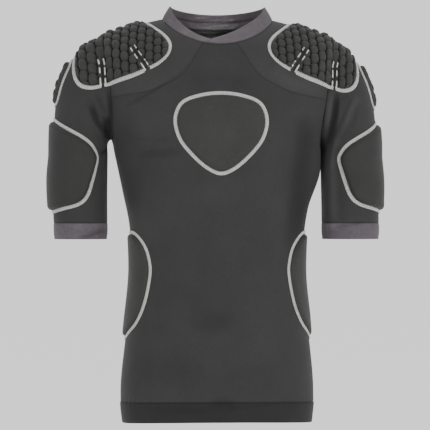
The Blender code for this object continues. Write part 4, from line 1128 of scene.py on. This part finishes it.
def slit_sewing(pad):
    """Silver dashes along both sides of each slit, the last of them from the border."""
    edge = closed_loop(sewn_edge(pad.border(pad.around), pad.centre))
    parts = []
    for slit in pad.slits:
        tries = np.linspace(0, 1, SLIT_TRIES)[:, None]
        line = slit.ends[1] - slit.ends[0]
        reach = tries[np.argmin(path_gap(edge, slit.ends[0] + tries * line)[0])]
        across = unit(np.array((line[1], -line[0])))
        for side, dashes in slit.dashes.items():
            for begin, end in dashes:
                share = np.linspace(begin, end, DASH_POINTS)[:, None]
                middle = slit.ends[0] + share * reach * line + across * side * SLIT_LINE
                gap = np.where(share[:, 0] > 1, 0.0, path_gap(edge, middle)[0])
                above = pad.relief(middle, gap)[0] + DASH_LIFT
                spread = [pad.cover.place(middle + across * q * DASH_SPREAD, above) for q in (-1, 1)]
                parts.append(tubes(np.array(spread), THREAD, THREAD_SIDES))
    return parts


for name, pad in PADS.items():
    stitches, ribbon = border_sewing(pad)
    stitches = joined([stitches] + slit_sewing(pad))
    for ending, sign in sides_of(name):
        add_piece(f"{name}{ending}_sewing", *stitches, SILVER, "silver_thread", sign=sign)
        band = add_piece(f"{name}{ending}_ribbon", *ribbon, GROUND, "silver_thread", sign=sign)
        thicken(band, RIBBON_WALL)


def run_stitches(line):
    """Short dark stitches along a line, whose rows are points of the cloth and their normals."""
    length = along_curve(line[:, :3])[-1]
    count = int(length / (RUN_STITCH + RUN_GAP))
    middles = (np.arange(count) + 0.5) * length / count
    at = middles[:, None] + np.linspace(-0.5, 0.5, len(RUN_LIFTS)) * RUN_STITCH
    rows = resampled(line, at.ravel())
    paths = rows[:, :3] + rows[:, 3:] * np.tile(RUN_LIFTS, count)[:, None]
    return tubes(paths.reshape(count, -1, 3), DARK_THREAD, DARK_SIDES)


def seam_lines():
    """The lines with dark stitches: hem, side, yoke and sleeve seams."""
    for name, (_, heights) in PANELS.items():
        surface = surfaces[name]
        for offset in HEM_STITCHES:
            yield surface[np.argmin(np.abs(heights - HEM_HEIGHT - offset))]
        for column in BESIDE_SEAM:
            yield surface[:, column]
        yield surface[BESIDE_SEAM[1]]
    for ending, _ in BOTH_SIDES:
        for row in BESIDE_SEAM:
            yield closed_loop(surfaces[f"sleeve{ending}"][row])
        for column in BESIDE_SEAM:
            yield surfaces[f"yoke{ending}"][:, column]


add_piece("seam_stitching", *joined([run_stitches(line) for line in seam_lines()]), BLACK, "black_knit")

# A record of a sheet of cloth's cut: width, length and area
Cut = namedtuple("Cut", "width length area")


# Floor, light and camera
SKY, FLOOR_HEIGHT, FLOOR_HALF, FLOOR_WHITE = 1.2, -0.95, 40.0, 0.8
MIDDLE = (0.0, 0.0, -0.30)


def add_floor():
    """A wide pale floor, as bright far off as the light around it."""
    mesh = bpy.data.meshes.new("floor")
    turns = ((-1, -1), (1, -1), (1, 1), (-1, 1))
    corners = [(x * FLOOR_HALF, y * FLOOR_HALF, FLOOR_HEIGHT) for x, y in turns]
    mesh.from_pydata(corners, [], [(0, 1, 2, 3)])
    material, _, shader = nodes_of("floor_white")
    fill_inputs(
        shader,
        {
            "Base Color": (FLOOR_WHITE, FLOOR_WHITE, FLOOR_WHITE, 1),
            "Roughness": 0.9,
            "Specular IOR Level": 0.0,
            "Emission Color": (1, 1, 1, 1),
            "Emission Strength": SKY * (1 - FLOOR_WHITE),
        },
    )
    mesh.materials.append(material)
    floor = add_object("floor", mesh)


def add_light(name, place, size, power, aim=MIDDLE, spread=180.0):
    light = bpy.data.lights.new(name, "AREA")
    light.shape = "DISK"
    light.size = size
    light.energy = power
    light.spread = radians(spread)
    lamp = add_object(name, light)
    lamp.location = place
    lamp.rotation_euler = (Vector(aim) - Vector(place)).to_track_quat("-Z", "Y").to_euler()
    lamp.visible_camera = False
    return lamp


def add_camera():
    camera = bpy.data.cameras.new("camera")
    camera.sensor_fit = "HORIZONTAL"
    camera.angle = 2 * atan(IMAGE_SIDE * METRES_PER_PIXEL / 2 / CAMERA_DISTANCE)
    holder = add_object("camera", camera)
    look = Vector((sin(CAMERA_YAW), cos(CAMERA_YAW), 0))
    aside = Vector((look.y, -look.x, 0)) * CAMERA_ASIDE
    holder.location = Vector((0, 0, CAMERA_HEIGHT)) - look * CAMERA_DISTANCE + aside
    holder.rotation_euler = look.to_track_quat("-Z", "Y").to_euler()
    bpy.context.scene.camera = holder


add_floor()
add_light("key", place=(2.4, -3.2, 0.3), size=1.6, power=76.0)
add_light("fill", place=(-2.6, -3.7, -0.6), size=2.2, power=86.0)
neck = add_light("neck", (-0.05, -0.90, 0.25), size=0.06, power=0.030, aim=(0.0, 0.06, 0.008), spread=3.0)
neck.visible_glossy = False
world = bpy.data.worlds.new("studio")
world.use_nodes = True
fill_inputs(world.node_tree.nodes["Background"], {"Color": (1, 1, 1, 1), "Strength": SKY})
bpy.context.scene.world = world
add_camera()
